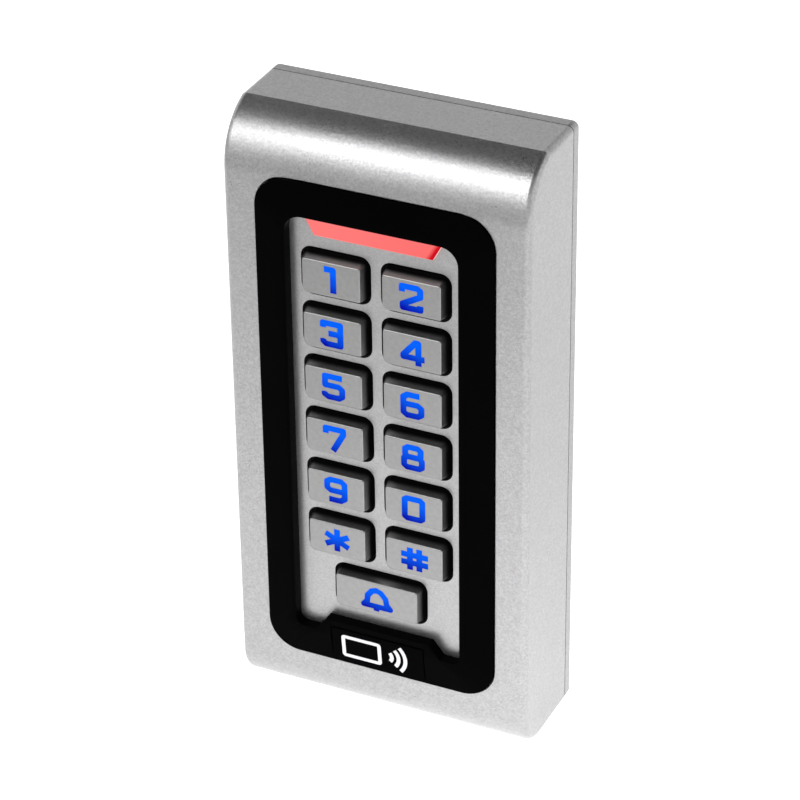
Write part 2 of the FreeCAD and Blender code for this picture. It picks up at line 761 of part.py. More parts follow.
def bezel():
    """Gloss surround that rises towards its window, with a tab for the nameplate."""
    body = new_body("bezel")
    width = "(bezel_width - 2 * bezel_gap)"
    height = "(bezel_height - 2 * bezel_gap)"
    corner = "(bezel_corner - bezel_gap)"
    frame = sketch_on(body, "XZ_Plane", "ledge", "Frame")
    draw_outline(frame, rounded_rectangle(width, height, corner))
    pad(body, frame, "(bezel_recess + bezel_edge_rise)")

    lower = sketch_on(body, "XZ_Plane", "bezel_edge", "SlopeFoot")
    draw_outline(lower, rounded_rectangle(width, height, corner))
    upper = sketch_on(body, "XZ_Plane", "bezel_crest", "SlopeCrest")
    crest_width = "(window_width + 2 * bezel_land)"
    crest_height = "(window_height + 2 * bezel_land)"
    crest_middle = "((window_top - window_bottom) / 2)"
    crest_corner = "(window_corner + bezel_land)"
    crest = rounded_rectangle(crest_width, crest_height, crest_corner, "0", crest_middle)
    draw_outline(upper, crest)
    slope = body.newObject("PartDesign::AdditiveLoft", "Slope")
    slope.Profile = lower
    slope.Sections = [upper]
    slope.Ruled = True
    DOC.recompute()

    window = sketch_on(body, "XZ_Plane", "(ledge - overcut)", "Window")
    draw_outline(window, window_steps())
    pocket(body, window, "(bezel_recess + bezel_crest_rise + 2 * overcut)")

    seat = sketch_on(body, "XZ_Plane", "(ledge - overcut)", "PlateSeat")
    seat_width = "(plate_width + 4 * bezel_gap)"
    seat_height = "(plate_height + 4 * bezel_gap)"
    draw_outline(seat, rounded_rectangle(seat_width, seat_height, "plate_corner"))
    pocket(body, seat, "(plate_front - ledge + overcut)")

    threads = sketch_on(body, "XZ_Plane", "(ledge - overcut)", "Threads")
    for across, up in bezel_screw_places():
        draw_circle(threads, "screw_radius", across, up)
    pocket(body, threads, "(bezel_screw_grip + bite + overcut)")

    facet = sketch_on(body, "YZ_Plane", name="LabelFacet")
    foot, head = label_line()
    front = "(-bezel_crest - overcut)"
    draw_outline(facet, [(*foot, None), (*head, None), (front, head[1], None), (front, foot[1], None)])
    pocket(body, facet, "(label_width + 2 * label_play)", midplane=True)
    return body


def window_steps():
    """The opening over the keys, with the nameplate tab standing up in its lower edge."""
    half = "(window_width / 2)"
    corner = "window_corner"
    foot = "window_foot_corner"
    return [
        (f"-{half} + {foot}", "-window_bottom", None),
        ("-tab_half_foot", "-window_bottom", None),
        ("-tab_half_top", "-tab_top", None),
        ("tab_half_top", "-tab_top", None),
        ("tab_half_foot", "-window_bottom", None),
        (f"{half} - {foot}", "-window_bottom", foot),
        (half, f"-window_bottom + {foot}", None),
        (half, f"window_top - {corner}", corner),
        (f"{half} - {corner}", "window_top", None),
        (f"-{half} + {corner}", "window_top", corner),
        (f"-{half}", f"window_top - {corner}", None),
        (f"-{half}", f"-window_bottom + {foot}", foot),
    ]


def label_line():
    """Side view of the flat that the nameplate lies on: its foot and its head, as (y, z)."""
    foot = ("-bezel_edge", "-bezel_height / 2")
    head = ("-bezel_crest", "-tab_top")
    return foot, head


def label_point(along, off):
    """A point beside the nameplate flat: a distance up it from its foot, and off it."""
    up_the_flat = ("label_rise / label_length", "label_run / label_length")
    y = f"-bezel_edge - {along} * {up_the_flat[0]} - {off} * {up_the_flat[1]}"
    z = f"-bezel_height / 2 + {along} * {up_the_flat[1]} - {off} * {up_the_flat[0]}"
    return y, z


def nameplate():
    """Thin black label, left blank apart from a generic mark, on the bezel's lower flat."""
    body = new_body("nameplate")
    sketch = sketch_on(body, "YZ_Plane", name="Side")
    corners = [
        label_point("label_foot_gap", "0"),
        label_point("label_head", "0"),
        label_point("label_head", "label_thickness"),
        label_point("label_foot_gap", "label_thickness"),
    ]
    draw_outline(sketch, [(y, z, None) for y, z in corners])
    pad(body, sketch, "label_width", midplane=True)
    return body


def key_places():
    """Name, column and row of each key; the bell key is wider and sits in the middle."""
    names = (("1", "2"), ("3", "4"), ("5", "6"), ("7", "8"), ("9", "0"), ("star", "hash"))
    places = []
    for row, pair in enumerate(names):
        for name, side in zip(pair, ("-", "")):
            up = f"(first_row - {row} * row_spacing)"
            places.append((name, f"({side}column_spacing / 2)", up))
    places.append(("bell", "0", "bell_row"))
    return places


def keypad_plate():
    """Metal plate behind the bezel, with a window for each key and a slot for the light bar."""
    body = layer("keypad_plate", "plate_back", "plate_thickness", [
        rounded_rectangle("plate_width", "plate_height", "plate_corner")
    ])
    below = "(plate_back - overcut)"
    for name, across, up in key_places():
        width = "bell_window_width" if name == "bell" else "key_window_width"
        window = sketch_on(body, "XZ_Plane", below, f"Window_{name}")
        corner = "key_window_corner"
        draw_outline(window, rounded_rectangle(width, "key_window_height", corner, across, up))
        pocket(body, window, "(plate_thickness + 2 * overcut)")
    slot = sketch_on(body, "XZ_Plane", below, "LightSlot")
    slot_width = "(bar_stem_width + 2 * bar_slot_clearance)"
    slot_height = "(bar_stem_height + 2 * bar_slot_clearance)"
    draw_outline(slot, rectangle(slot_width, slot_height, "0", "bar_middle"))
    pocket(body, slot, "(plate_thickness + 2 * overcut)")
    return body


def light_bar():
    """Red light pipe: a shallow wedge on the plate with a stem down to the lamps."""
    body = new_body("light_bar")
    face = sketch_on(body, "XZ_Plane", "plate_front", "Face")
    head = "(window_top - bar_head_gap)"
    draw_outline(face, [
        ("-bar_half_foot", "bar_foot", None),
        ("bar_half_foot", "bar_foot", None),
        ("bar_half_head", head, None),
        ("-bar_half_head", head, None),
    ])
    pad(body, face, "bar_rise")
    stem = sketch_on(body, "XZ_Plane", "bar_stem_base", "Stem")
    draw_outline(stem, rectangle("bar_stem_width", "bar_stem_height", "0", "bar_middle"))
    pad(body, stem, "(plate_front - bar_stem_base + bite)")
    return body


# ---- keys ------------------------------------------------------------------------------


# Legends as strokes, each a line of "across,up" points on a grid four units wide and
# six units high, counted from the lower left
GLYPHS = {
    "1": ["0.9,5.5 2.4,5.5 2.4,0"],
    "2": ["0.5,4.2 0.5,5.5 3.0,5.5 3.5,5.0 3.5,3.6 0.6,1.3 0.6,0.5 3.5,0.5 3.5,1.5"],
    "3": ["0.5,4.4 0.5,5.5 3.4,5.5 3.4,0.5 1.0,0.5 0.5,1.0 0.5,1.6", "1.4,3.1 3.4,3.1"],
    "4": ["4.1,1.7 0.6,1.7 0.6,2.1 2.6,5.4 3.1,5.4 3.1,0"],
    "5": ["3.5,5.5 0.6,5.5 0.6,3.3 2.9,3.3 3.5,2.7 3.5,1.1 2.9,0.5 1.1,0.5 0.5,1.0 0.5,1.6"],
    "6": ["3.2,5.5 1.2,5.5 0.5,4.8 0.5,1.1 1.1,0.5 2.9,0.5 3.5,1.1 3.5,2.6 2.9,3.2 0.5,3.2"],
    "7": ["0.5,4.2 0.5,5.5 3.5,5.5 3.5,4.6 1.7,0"],
    "8": [
        "1.2,3.1 0.7,3.6 0.7,5.0 1.2,5.5 2.8,5.5 3.3,5.0 3.3,3.6 2.8,3.1 1.2,3.1",
        "1.0,3.1 0.5,2.6 0.5,1.0 1.0,0.5 3.0,0.5 3.5,1.0 3.5,2.6 3.0,3.1",
    ],
    "9": ["0.8,0.5 2.8,0.5 3.5,1.2 3.5,4.9 2.9,5.5 1.1,5.5 0.5,4.9 0.5,3.4 1.1,2.8 3.5,2.8"],
    "0": ["0.9,0.5 0.5,0.9 0.5,5.1 0.9,5.5 3.1,5.5 3.5,5.1 3.5,0.9 3.1,0.5 0.9,0.5"],
    "star": ["2.0,0.2 2.0,5.8", "0.0,1.6 4.0,4.4", "0.0,4.4 4.0,1.6"],
    "hash": ["1.3,0.2 1.3,5.8", "2.9,0.2 2.9,5.8", "-0.2,2.0 4.4,2.0", "-0.2,4.0 4.4,4.0"],
    "bell": [
        "-0.2,1.0 0.4,2.0 0.5,3.5 1.2,4.8 2.0,5.2 2.8,4.8 3.6,3.5 3.8,2.0 4.4,1.0 -0.2,1.0",
        "1.5,0.5 2.5,0.5",
    ],
}


def stroke_bars(points, stroke, thickness):
    """A bar along each stretch of a stroke, and a round joint at each of its bends."""
    ahead = FreeCAD.Vector(0, -1, 0)
    bars = []
    for start, end in zip(points, points[1:]):
        along = (end - start).normalize()
        side = FreeCAD.Vector(-along.z, 0, along.x) * (stroke / 2)
        corners = [start + side, end + side, end - side, start - side, start + side]
        face = Part.Face(Part.makePolygon(corners))
        bars.append(face.extrude(ahead * thickness))
    closed = points[0] == points[-1]
    for joint in points[1:] if closed else points[1:-1]:
        bars.append(Part.makeCylinder(stroke / 2, thickness, joint, ahead))
    return bars


def glyph_shape(strokes, width, height, stroke, thickness):
    """Legend built from straight bars with round joints, centred on the origin."""
    bars = []
    for line in strokes:
        places = [place.split(",") for place in line.split()]
        points = [
            FreeCAD.Vector((float(across) - 2) * width / 4, 0, (float(up) - 3) * height / 6)
            for across, up in places
        ]
        bars += stroke_bars(points, stroke, thickness)
    shape = bars[0].multiFuse(bars[1:]) if len(bars) > 1 else bars[0]
    return shape.removeSplitter()


def legend(name, across, up):
    """Translucent legend let into the key's face, standing a hair proud of it."""
    item = DOC.addObject("Part::Feature", f"legend_{name}")
    sizes = [value(size) for size in ("glyph_width", "glyph_height", "glyph_stroke")]
    item.Shape = glyph_shape(GLYPHS[name], *sizes, value("legend_thickness + legend_stand"))
    bind(item, {
        "Placement.Base.x": across,
        "Placement.Base.y": "-(key_face - legend_thickness)",
        "Placement.Base.z": up,
    })
    item.Label = f"legend_{name}"
    return item


def key(name, across, up):
    """Push key: a flange behind the plate, a stem in the window and a drafted cap.

    The cap is cut for its legend, and the two are returned together.
    """
    wide = name == "bell"
    face_width = "bell_width" if wide else "key_width"
    window_width = "bell_window_width" if wide else "key_window_width"
    blank = new_body(f"key_blank_{name}")

    flange = sketch_on(blank, "XZ_Plane", "flange_back", "Flange")
    flange_width = f"({window_width} + 2 * key_flange_lap)"
    flange_height = "(key_window_height + 2 * key_flange_lap)"
    flange_corner = "key_window_corner"
    draw_outline(flange, rounded_rectangle(flange_width, flange_height, flange_corner, across, up))
    pad(blank, flange, "key_flange")

    base_width = f"({face_width} + 2 * key_draft)"
    base_height = "(key_height + 2 * key_draft)"
    corner = "(key_corner + key_draft)"
    soft = "(key_soft_corner + key_draft)"
    stem = sketch_on(blank, "XZ_Plane", "plate_back", "Stem")
    draw_outline(stem, rounded_rectangle(base_width, base_height, corner, across, up, soft))
    pad(blank, stem, "plate_thickness")

    foot = sketch_on(blank, "XZ_Plane", "plate_front", "CapFoot")
    draw_outline(foot, rounded_rectangle(base_width, base_height, corner, across, up, soft))
    head = sketch_on(blank, "XZ_Plane", "key_face", "CapFace")
    face = rounded_rectangle(face_width, "key_height", "key_corner", across, up, "key_soft_corner")
    draw_outline(head, face)
    cap = blank.newObject("PartDesign::AdditiveLoft", "Cap")
    cap.Profile = foot
    cap.Sections = [head]
    cap.Ruled = True
    DOC.recompute()

    chamfer = blank.newObject("PartDesign::Chamfer", "FaceBevel")
    level = -value("key_face")
    chamfer.Base = (cap, [
        f"Edge{number}"
        for number, edge in enumerate(cap.Shape.Edges, 1)
        if abs(edge.BoundBox.YMax - level) < 1e-4
    ])
    bind(chamfer, {"Size": "key_bevel"})
    DOC.recompute()

    mark = legend(name, across, up)
    return [cut(f"key_{name}", blank, mark), mark]


# ---- mat, boards and carrier ------------------------------------------------------------


LAMP_SIZES = ("lamp_width", "lamp_height", "lamp_thickness")


def lamp_place(across, up):
    """The lamp beside each key's dome."""
    return f"({across} + lamp_offset)", up


def dome_mat():
    """Silicone sheet with one spring dome under each key and a hole over each lamp."""
    outlines = [rounded_rectangle("mat_width", "mat_height", "plate_corner")]
    window = "lamp_window"
    for _, across, up in key_places():
        outlines.append(rectangle(window, window, *lamp_place(across, up)))
    slot_width = "(bar_stem_width + lamp_window)"
    slot_height = "(bar_stem_height + 2 * bar_lamp_gap)"
    outlines.append(rectangle(slot_width, slot_height, "0", "bar_middle"))
    web = layer("mat_web", "board_front", "web_thickness", outlines)
    domes = []
    hollows = []
    for name, across, up in key_places():
        place = (across, up)
        sizes = ("dome_radius", "dome_height", *place, "web_front", "dome_top_radius")
        domes.append(rod(f"dome_{name}", *sizes))
        radius = "(dome_radius - dome_skin)"
        height = "(web_thickness + dome_height - dome_skin)"
        top_radius = "(dome_top_radius - dome_skin)"
        hollows.append(rod(f"hollow_{name}", radius, height, *place, "board_front", top_radius))
    return cut("dome_mat", joined("mat_solid", [web, *domes]), joined("mat_hollows", hollows))


def keypad_board():
    """Circuit board under the keys, held in the carrier by four screws."""
    tail = "standoff_tail_radius"
    holes = [(tail, across, up) for across, up in standoff_places()]
    screw = "(screw_radius + screw_clearance)"
    holes += [(screw, across, up) for across, up in board_screw_places()]
    outline = rounded_rectangle("board_width", "board_height", "carrier_corner")
    return layer("keypad_board", "board_back", "board_thickness", [outline], holes)


def corner_places(half_width, half_height):
    """Four places at plus and minus two half distances."""
    return [
        (f"({left}{half_width})", f"({low}{half_height})")
        for left in ("-", "")
        for low in ("-", "")
    ]


def standoff_places():
    """Where the two boards are tied together."""
    return corner_places("standoff_column", "standoff_row")


def board_screw_places():
    """Where the keypad board is screwed into the carrier."""
    return corner_places("board_screw_column", "board_screw_row")


def contact_pads():
    """Gold contact under each dome."""
    discs = [
        rod(f"pad_{name}", "pad_radius", "pad_thickness", across, up, "board_front")
        for name, across, up in key_places()
    ]
    return grouped("contact_pads", discs)


def key_lamps():
    """One blue lamp beside each dome."""
    lamps = []
    for name, across, up in key_places():
        place = lamp_place(across, up)
        lamps.append(block(f"lamp_{name}", *LAMP_SIZES, *place, "board_front"))
    return grouped("key_lamps", lamps)


def status_lamps():
    """Three red lamps under the light bar."""
    lamps = [
        block(f"status_{side}", *LAMP_SIZES, across, "bar_middle", "board_front")
        for side, across in (
            ("left", "-status_lamp_spacing"),
            ("middle", "0"),
            ("right", "status_lamp_spacing"),
        )
    ]
    return grouped("status_lamps", lamps)


def antenna_coil():
    """Flat wound coil on the back of the keypad board that reads cards."""
    outer = rounded_rectangle("2 * coil_half_width", "2 * coil_half_height", "carrier_corner")
    inner_width = "(2 * coil_half_width - 2 * coil_band)"
    inner_height = "(2 * coil_half_height - 2 * coil_band)"
    inner = rounded_rectangle(inner_width, inner_height, "carrier_corner / 2")
    return layer("antenna_coil", "(board_back - coil_thickness)", "coil_thickness", [outer, inner])


def keypad_carrier():
    """Frame that presses the plate into the bezel and holds the mat and the board."""
    body = new_body("keypad_carrier")
    frame = sketch_on(body, "XZ_Plane", "board_front", "Frame")
    draw_outline(frame, rounded_rectangle("carrier_width", "carrier_height", "carrier_corner"))
    window = rounded_rectangle("carrier_window_width", "carrier_window_height", "plate_corner")
    draw_outline(frame, window)
    pad(body, frame, "(front_inside - board_front)")

    rim = sketch_on(body, "XZ_Plane", "(front_inside - bite)", "Rim")
    draw_outline(rim, ledge_opening("carrier_rim_gap"))
    draw_outline(rim, window)
    pad(body, rim, "(carrier_rim + bite)")

    seat = sketch_on(body, "XZ_Plane", "(board_front - overcut)", "MatSeat")
    seat_width = "(mat_width + 2 * mat_gap)"
    seat_height = "(mat_height + 2 * mat_gap)"
    draw_outline(seat, rounded_rectangle(seat_width, seat_height, "plate_corner"))
    pocket(body, seat, "(web_thickness + overcut)")

    sinks = sketch_on(body, "XZ_Plane", "(board_front - overcut)", "HeadSinks")
    holes = sketch_on(body, "XZ_Plane", "(board_front - overcut)", "ScrewHoles")
    for across, up in bezel_screw_places():
        draw_circle(sinks, "(screw_head_radius + screw_clearance)", across, up)
        draw_circle(holes, "(screw_radius + screw_clearance)", across, up)
    pocket(body, sinks, "(screw_head_height + bite + overcut)")
    pocket(body, holes, "4 * wall")

    threads = sketch_on(body, "XZ_Plane", "(board_front - overcut)", "BoardThreads")
    for across, up in board_screw_places():
        draw_circle(threads, "screw_radius", across, up)
    pocket(body, threads, "(board_screw_grip + bite + overcut)")
    return body


def screw_set(label, places, head_level, shank_length):
    """Identical small screws: each head lies behind its level and its shank points at the user."""
    screws = []
    for number, (across, up) in enumerate(places, 1):
        name = f"{label}_{number}"
        head_base = f"({head_level} - screw_head_height)"
        head = rod(f"{name}_head", "screw_head_radius", "screw_head_height", across, up, head_base)
        shank = rod(f"{name}_shank", "screw_radius", shank_length, across, up, head_level)
        slot_sizes = ("2 * screw_head_radius", "screw_slot_width", "screw_slot_depth")
        slot = block(f"{name}_slot", *slot_sizes, across, up, head_base)
        screws.append(cut(f"{name}_whole", joined(f"{name}_blank", [head, shank]), slot))
    return grouped(label, screws)


def bezel_screws():
    """Six screws from the carrier through the ledge into the bezel."""
    length = "(ledge + bezel_screw_grip - bezel_head_level)"
    return screw_set("bezel_screws", bezel_screw_places(), "bezel_head_level", length)


def board_screws():
    """Four screws from the keypad board into the carrier."""
    length = "(board_thickness + board_screw_grip)"
    return screw_set("board_screws", board_screw_places(), "board_back", length)


def controller_screws():
    """Four screws from the controller board into the standoffs."""
    length = "(board_thickness + controller_screw_grip)"
    return screw_set("controller_screws", standoff_places(), "controller_back", length)


def board_standoffs():
    """Brass pillars between the boards, with a tail riveted into the keypad board."""
    pillars = []
    for number, (across, up) in enumerate(standoff_places(), 1):
        foot = (across, up, "controller_front")
        post = rod(f"post_{number}", "standoff_radius", "standoff_length", *foot)
        tail_sizes = ("standoff_tail_radius", "board_thickness")
        tail = rod(f"tail_{number}", *tail_sizes, across, up, "board_back")
        thread_length = "(controller_screw_grip + screw_end_gap)"
        thread = rod(f"thread_{number}", "screw_radius", thread_length, *foot)
        pillars.append(cut(f"pillar_{number}", joined(f"pillar_blank_{number}", [post, tail]), thread))
    return grouped("board_standoffs", pillars)


# Places of the parts on the controller board, as (across, up)
RELAY_PLACE = ("relay_column", "upper_part_row")
BUZZER_PLACE = ("buzzer_column", "upper_part_row")
CHIP_PLACE = ("-chip_across", "-chip_drop")
READER_CHIP_PLACE = ("-reader_chip_across", "reader_chip_rise")
CONNECTOR_PLACE = ("connector_column", "connector_row")
TAMPER_PLACE = ("-tamper_across", "tamper_row")
HEADER_PLACE = ("0", "header_row")


def controller_board():
    """Board with the relay, the buzzer, the processor and the wire terminals."""
    screw = "(screw_radius + screw_clearance)"
    holes = [(screw, across, up) for across, up in standoff_places()]
    outline = rounded_rectangle("controller_width", "controller_height", "carrier_corner")
    return layer("controller_board", "controller_back", "board_thickness", [outline], holes)


def behind_controller(name, width, height, thickness, place):
    """A block soldered to the back of the controller board."""
    base = f"(controller_back - {thickness})"
    item = block(name, width, height, thickness, *place, base)
    item.Label = name
    return item


def controller_parts():
    """Everything that is soldered to the controller board."""
    side = "chip_side"
    chip = behind_controller("controller_chip", side, side, "chip_thickness", CHIP_PLACE)
    side = "reader_chip_side"
    reader = behind_controller("reader_chip", side, side, "chip_thickness", READER_CHIP_PLACE)
    relay_sizes = ("relay_width", "relay_height", "relay_thickness")
    relay = behind_controller("relay", *relay_sizes, RELAY_PLACE)

    buzzer_base = "(controller_back - buzzer_thickness)"
    can = rod("buzzer_can", "buzzer_radius", "buzzer_thickness", *BUZZER_PLACE, buzzer_base)
    mouth_sizes = ("buzzer_hole_radius", "2 * overcut")
    mouth_base = "(controller_back - buzzer_thickness - overcut)"
    mouth = rod("buzzer_mouth", *mouth_sizes, *BUZZER_PLACE, mouth_base)
    buzzer = cut("buzzer", can, mouth)

    sensor_base = "(controller_back - tamper_thickness)"
    sensor = rod("tamper_sensor", "tamper_radius", "tamper_thickness", *TAMPER_PLACE, sensor_base)
    sensor.Label = "tamper_sensor"

    header_sizes = ("header_width", "header_height", "standoff_length")
    header = block("board_header", *header_sizes, *HEADER_PLACE, "controller_front")
    header.Label = "board_header"
    return [chip, reader, relay, buzzer, sensor, header, wire_connector()]


def wire_connector():
    """Terminal strip with a wire hole for each way, facing the middle of the board."""
    base = "(controller_back - connector_thickness)"
    strip_sizes = ("connector_width", "connector_length", "connector_thickness")
    strip = block("connector_strip", *strip_sizes, *CONNECTOR_PLACE, base)
    holes = []
    across, up = CONNECTOR_PLACE
    for way in range(WIRE_WAYS):
        hole = DOC.addObject("Part::Cylinder", f"wire_hole_{way + 1}")
        hole.Placement = FreeCAD.Placement(FreeCAD.Vector(), FreeCAD.Rotation(FreeCAD.Vector(0, 1, 0), 90))
        bind(hole, {
            "Radius": "wire_hole_radius",
            "Height": "wire_hole_depth",
            "Placement.Base.x": f"{across} - connector_width / 2",
            "Placement.Base.y": f"-({base} + connector_thickness / 3)",
            "Placement.Base.z": f"{up} + {way - (WIRE_WAYS - 1) / 2} * connector_pitch",
        })
        holes.append(hole)
    return cut("wire_connector", strip, joined("wire_holes", holes))


# ---- assembly ---------------------------------------------------------------------------


def build_pieces():
    """Builds every piece of the reader, from the wall outwards."""
    pieces = [back_cover(), cover_gasket(), cable_grommet(), *security_parts(), front_housing()]
    pieces += [bezel(), nameplate(), keypad_plate(), light_bar()]
    for name, across, up in key_places():
        pieces += key(name, across, up)
    pieces += [keypad_carrier(), dome_mat(), keypad_board(), contact_pads(), key_lamps(), status_lamps()]
    pieces += [antenna_coil(), board_standoffs(), controller_board(), *controller_parts()]
    pieces += [bezel_screws(), board_screws(), controller_screws()]
    DOC.recompute()
    return pieces


def check(pieces):
    """Stops if anything in the document failed or a piece isn't a sound solid."""
    for item in DOC.Objects:
        if "Invalid" in item.State or "Error" in item.State:
            raise ValueError(f"{item.Label} failed: {item.State}")
    for piece in pieces:
        shape = piece.Shape
        if shape.isNull() or not shape.isValid() or not shape.Solids:
            raise ValueError(f"{piece.Label} has no sound shape")


def main():
    """Builds, checks and writes the reader."""
    fill_sheet()
    pieces = build_pieces()
    check(pieces)
    os.makedirs("parts", exist_ok=True)
    for piece in pieces:
        piece.Shape.exportStep(f"parts/{piece.Label}.step")
        print(f"{piece.Label}: {len(piece.Shape.Solids)} solid(s), {piece.Shape.Volume:.1f} mm3")
    print(f"{len(pieces)} pieces")


main()
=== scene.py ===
"""Looks of a wall-mounted keypad access reader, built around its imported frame.

Every length in the classes below is in millimetres unless its name ends in _m. Meshes are
in metres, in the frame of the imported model: X to the right, Y into the wall, Z up, with
the origin in the middle of the reader's back. A level is a distance off the wall, so its
Y is negative.
"""

import logging
import math
from dataclasses import dataclass, field
from enum import Enum
from typing import Callable, Iterable, Optional, Union

import bmesh
import bpy
from mathutils import Matrix, Vector


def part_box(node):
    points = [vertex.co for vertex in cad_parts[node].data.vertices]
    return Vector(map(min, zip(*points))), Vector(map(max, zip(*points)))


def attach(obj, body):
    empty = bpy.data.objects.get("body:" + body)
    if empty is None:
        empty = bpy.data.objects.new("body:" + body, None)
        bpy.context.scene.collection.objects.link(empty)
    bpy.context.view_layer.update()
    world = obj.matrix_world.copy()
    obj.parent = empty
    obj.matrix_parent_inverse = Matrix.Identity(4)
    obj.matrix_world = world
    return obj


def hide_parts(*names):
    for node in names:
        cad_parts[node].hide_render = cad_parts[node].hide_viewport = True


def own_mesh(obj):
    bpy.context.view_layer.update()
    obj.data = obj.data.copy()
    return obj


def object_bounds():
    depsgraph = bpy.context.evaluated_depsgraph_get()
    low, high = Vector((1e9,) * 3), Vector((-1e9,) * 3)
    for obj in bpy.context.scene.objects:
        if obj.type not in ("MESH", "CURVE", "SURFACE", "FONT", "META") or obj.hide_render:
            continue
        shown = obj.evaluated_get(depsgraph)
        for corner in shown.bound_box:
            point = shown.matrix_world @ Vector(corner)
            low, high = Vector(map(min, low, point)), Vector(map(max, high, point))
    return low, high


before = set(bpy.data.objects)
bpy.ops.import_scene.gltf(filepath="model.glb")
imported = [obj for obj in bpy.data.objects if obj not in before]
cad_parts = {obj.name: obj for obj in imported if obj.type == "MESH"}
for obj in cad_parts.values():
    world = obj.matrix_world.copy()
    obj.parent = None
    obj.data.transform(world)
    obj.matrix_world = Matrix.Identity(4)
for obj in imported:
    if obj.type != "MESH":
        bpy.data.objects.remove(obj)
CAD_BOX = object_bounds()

LOG = logging.getLogger("reader")
MM = 0.001
LEVEL_SLACK = 0.05
BODY = "reader_body"
MERGE_M = 1e-6
FLAT_ANGLE = math.radians(0.4)
SHARP_ANGLE = math.radians(28.0)
SMOOTH_ANGLE = math.radians(32.0)
MID_STRETCH = (0.25, 0.75)
UNLIT_SHARE = 0.05
CLOUD_DULLING = 0.1
READER_MIDDLE_M = (0.0, -0.012, 0.0)
KEYS = ("1", "2", "3", "4", "5", "6", "7", "8", "9", "0", "star", "hash", "bell")

Colour = tuple[float, float, float]
Place = tuple[float, float, float]
Number = Union[float, "Term"]
EdgeTest = Callable[[bmesh.types.BMEdge], bool]


class Op(Enum):
    """The sums that a shader may do on two numbers."""

    ADD = "ADD"
    SUBTRACT = "SUBTRACT"
    MULTIPLY = "MULTIPLY"
    POWER = "POWER"


# ---- shaders ----


class Term:
    """A number that varies over a surface, held as one output socket of a shader."""

    def __init__(self, graph: "NodeTree", socket: bpy.types.NodeSocket) -> None:
        """Keeps the socket and the tree that it belongs to.

        Args:
            graph: The tree that the socket is part of.
            socket: The output that gives the number.
        """
        self.graph = graph
        self.socket = socket

    def _sum(self, op: Op, first: Number, second: Number) -> "Term":
        """Adds one Math node.

        Args:
            op: What the node does.
            first: Its first number.
            second: Its second number.

        Returns:
            The node's result.
        """
        made = self.graph.node("ShaderNodeMath", {"operation": op.value}, {0: first, 1: second})
        return Term(self.graph, made.outputs[0])

    def __add__(self, other: Number) -> "Term":
        """This number plus the other."""
        return self._sum(Op.ADD, self, other)

    def __radd__(self, other: Number) -> "Term":
        """The other plus this number."""
        return self._sum(Op.ADD, other, self)

    def __sub__(self, other: Number) -> "Term":
        """This number less the other."""
        return self._sum(Op.SUBTRACT, self, other)

    def __rsub__(self, other: Number) -> "Term":
        """The other less this number."""
        return self._sum(Op.SUBTRACT, other, self)

    def __mul__(self, other: Number) -> "Term":
        """This number times the other."""
        return self._sum(Op.MULTIPLY, self, other)

    def __rmul__(self, other: Number) -> "Term":
        """The other times this number."""
        return self._sum(Op.MULTIPLY, other, self)

    def __pow__(self, other: Number) -> "Term":
        """This number to a power."""
        return self._sum(Op.POWER, self, other)

    def held(self, low: float, high: float) -> "Term":
        """Spreads the stretch from low to high over nought to one, and holds it there.

        Args:
            low: The number that becomes nought.
            high: The number that becomes one.

        Returns:
            The spread number.
        """
        limits = {"Value": self, "From Min": low, "From Max": high}
        made = self.graph.node("ShaderNodeMapRange", {"clamp": True}, limits)
        return Term(self.graph, made.outputs["Result"])


class NodeTree:
    """The nodes of a material or of the sky."""

    def __init__(self, tree: bpy.types.NodeTree) -> None:
        """Keeps the tree.

        Args:
            tree: The tree that nodes are added to.
        """
        self.tree = tree

    def node(
        self, kind: str, settings: Optional[dict] = None, inputs: Optional[dict] = None,
    ) -> bpy.types.Node:
        """Adds a node.

        Args:
            kind: The node's type.
            settings: Its own properties, set first; "stops" holds a ramp's grey stops.
            inputs: Values or links of its sockets, by name or number.

        Returns:
            The node.
        """
        made = self.tree.nodes.new(kind)
        for name, value in (settings or {}).items():
            if name == "stops":
                elements = made.color_ramp.elements
                while len(elements) < len(value):
                    elements.new(0.5)
                for element, (where, shade) in zip(elements, value):
                    element.position = where
                    element.color = (shade, shade, shade, 1.0)
            else:
                setattr(made, name, value)
        for name, value in (inputs or {}).items():
            self.feed(made.inputs[name], value)
        return made

    def feed(self, socket: bpy.types.NodeSocket, value: object) -> None:
        """Sets a socket or links it.

        Args:
            socket: The input.
            value: A number, a colour, a Term or an output socket.
        """
        if isinstance(value, Term):
            self.tree.links.new(value.socket, socket)
        elif isinstance(value, bpy.types.NodeSocket):
            self.tree.links.new(value, socket)
        elif isinstance(value, tuple) and len(value) == 3 and socket.type == "RGBA":
            socket.default_value = (*value, 1.0)
        else:
            socket.default_value = value

    def axis(self, point: bpy.types.NodeSocket, letter: str) -> Term:
        """One part of a point.

        Args:
            point: The point.
            letter: Which part: X, Y or Z.

        Returns:
            The part.
        """
        return Term(self, self.node("ShaderNodeSeparateXYZ", {}, {"Vector": point}).outputs[letter])


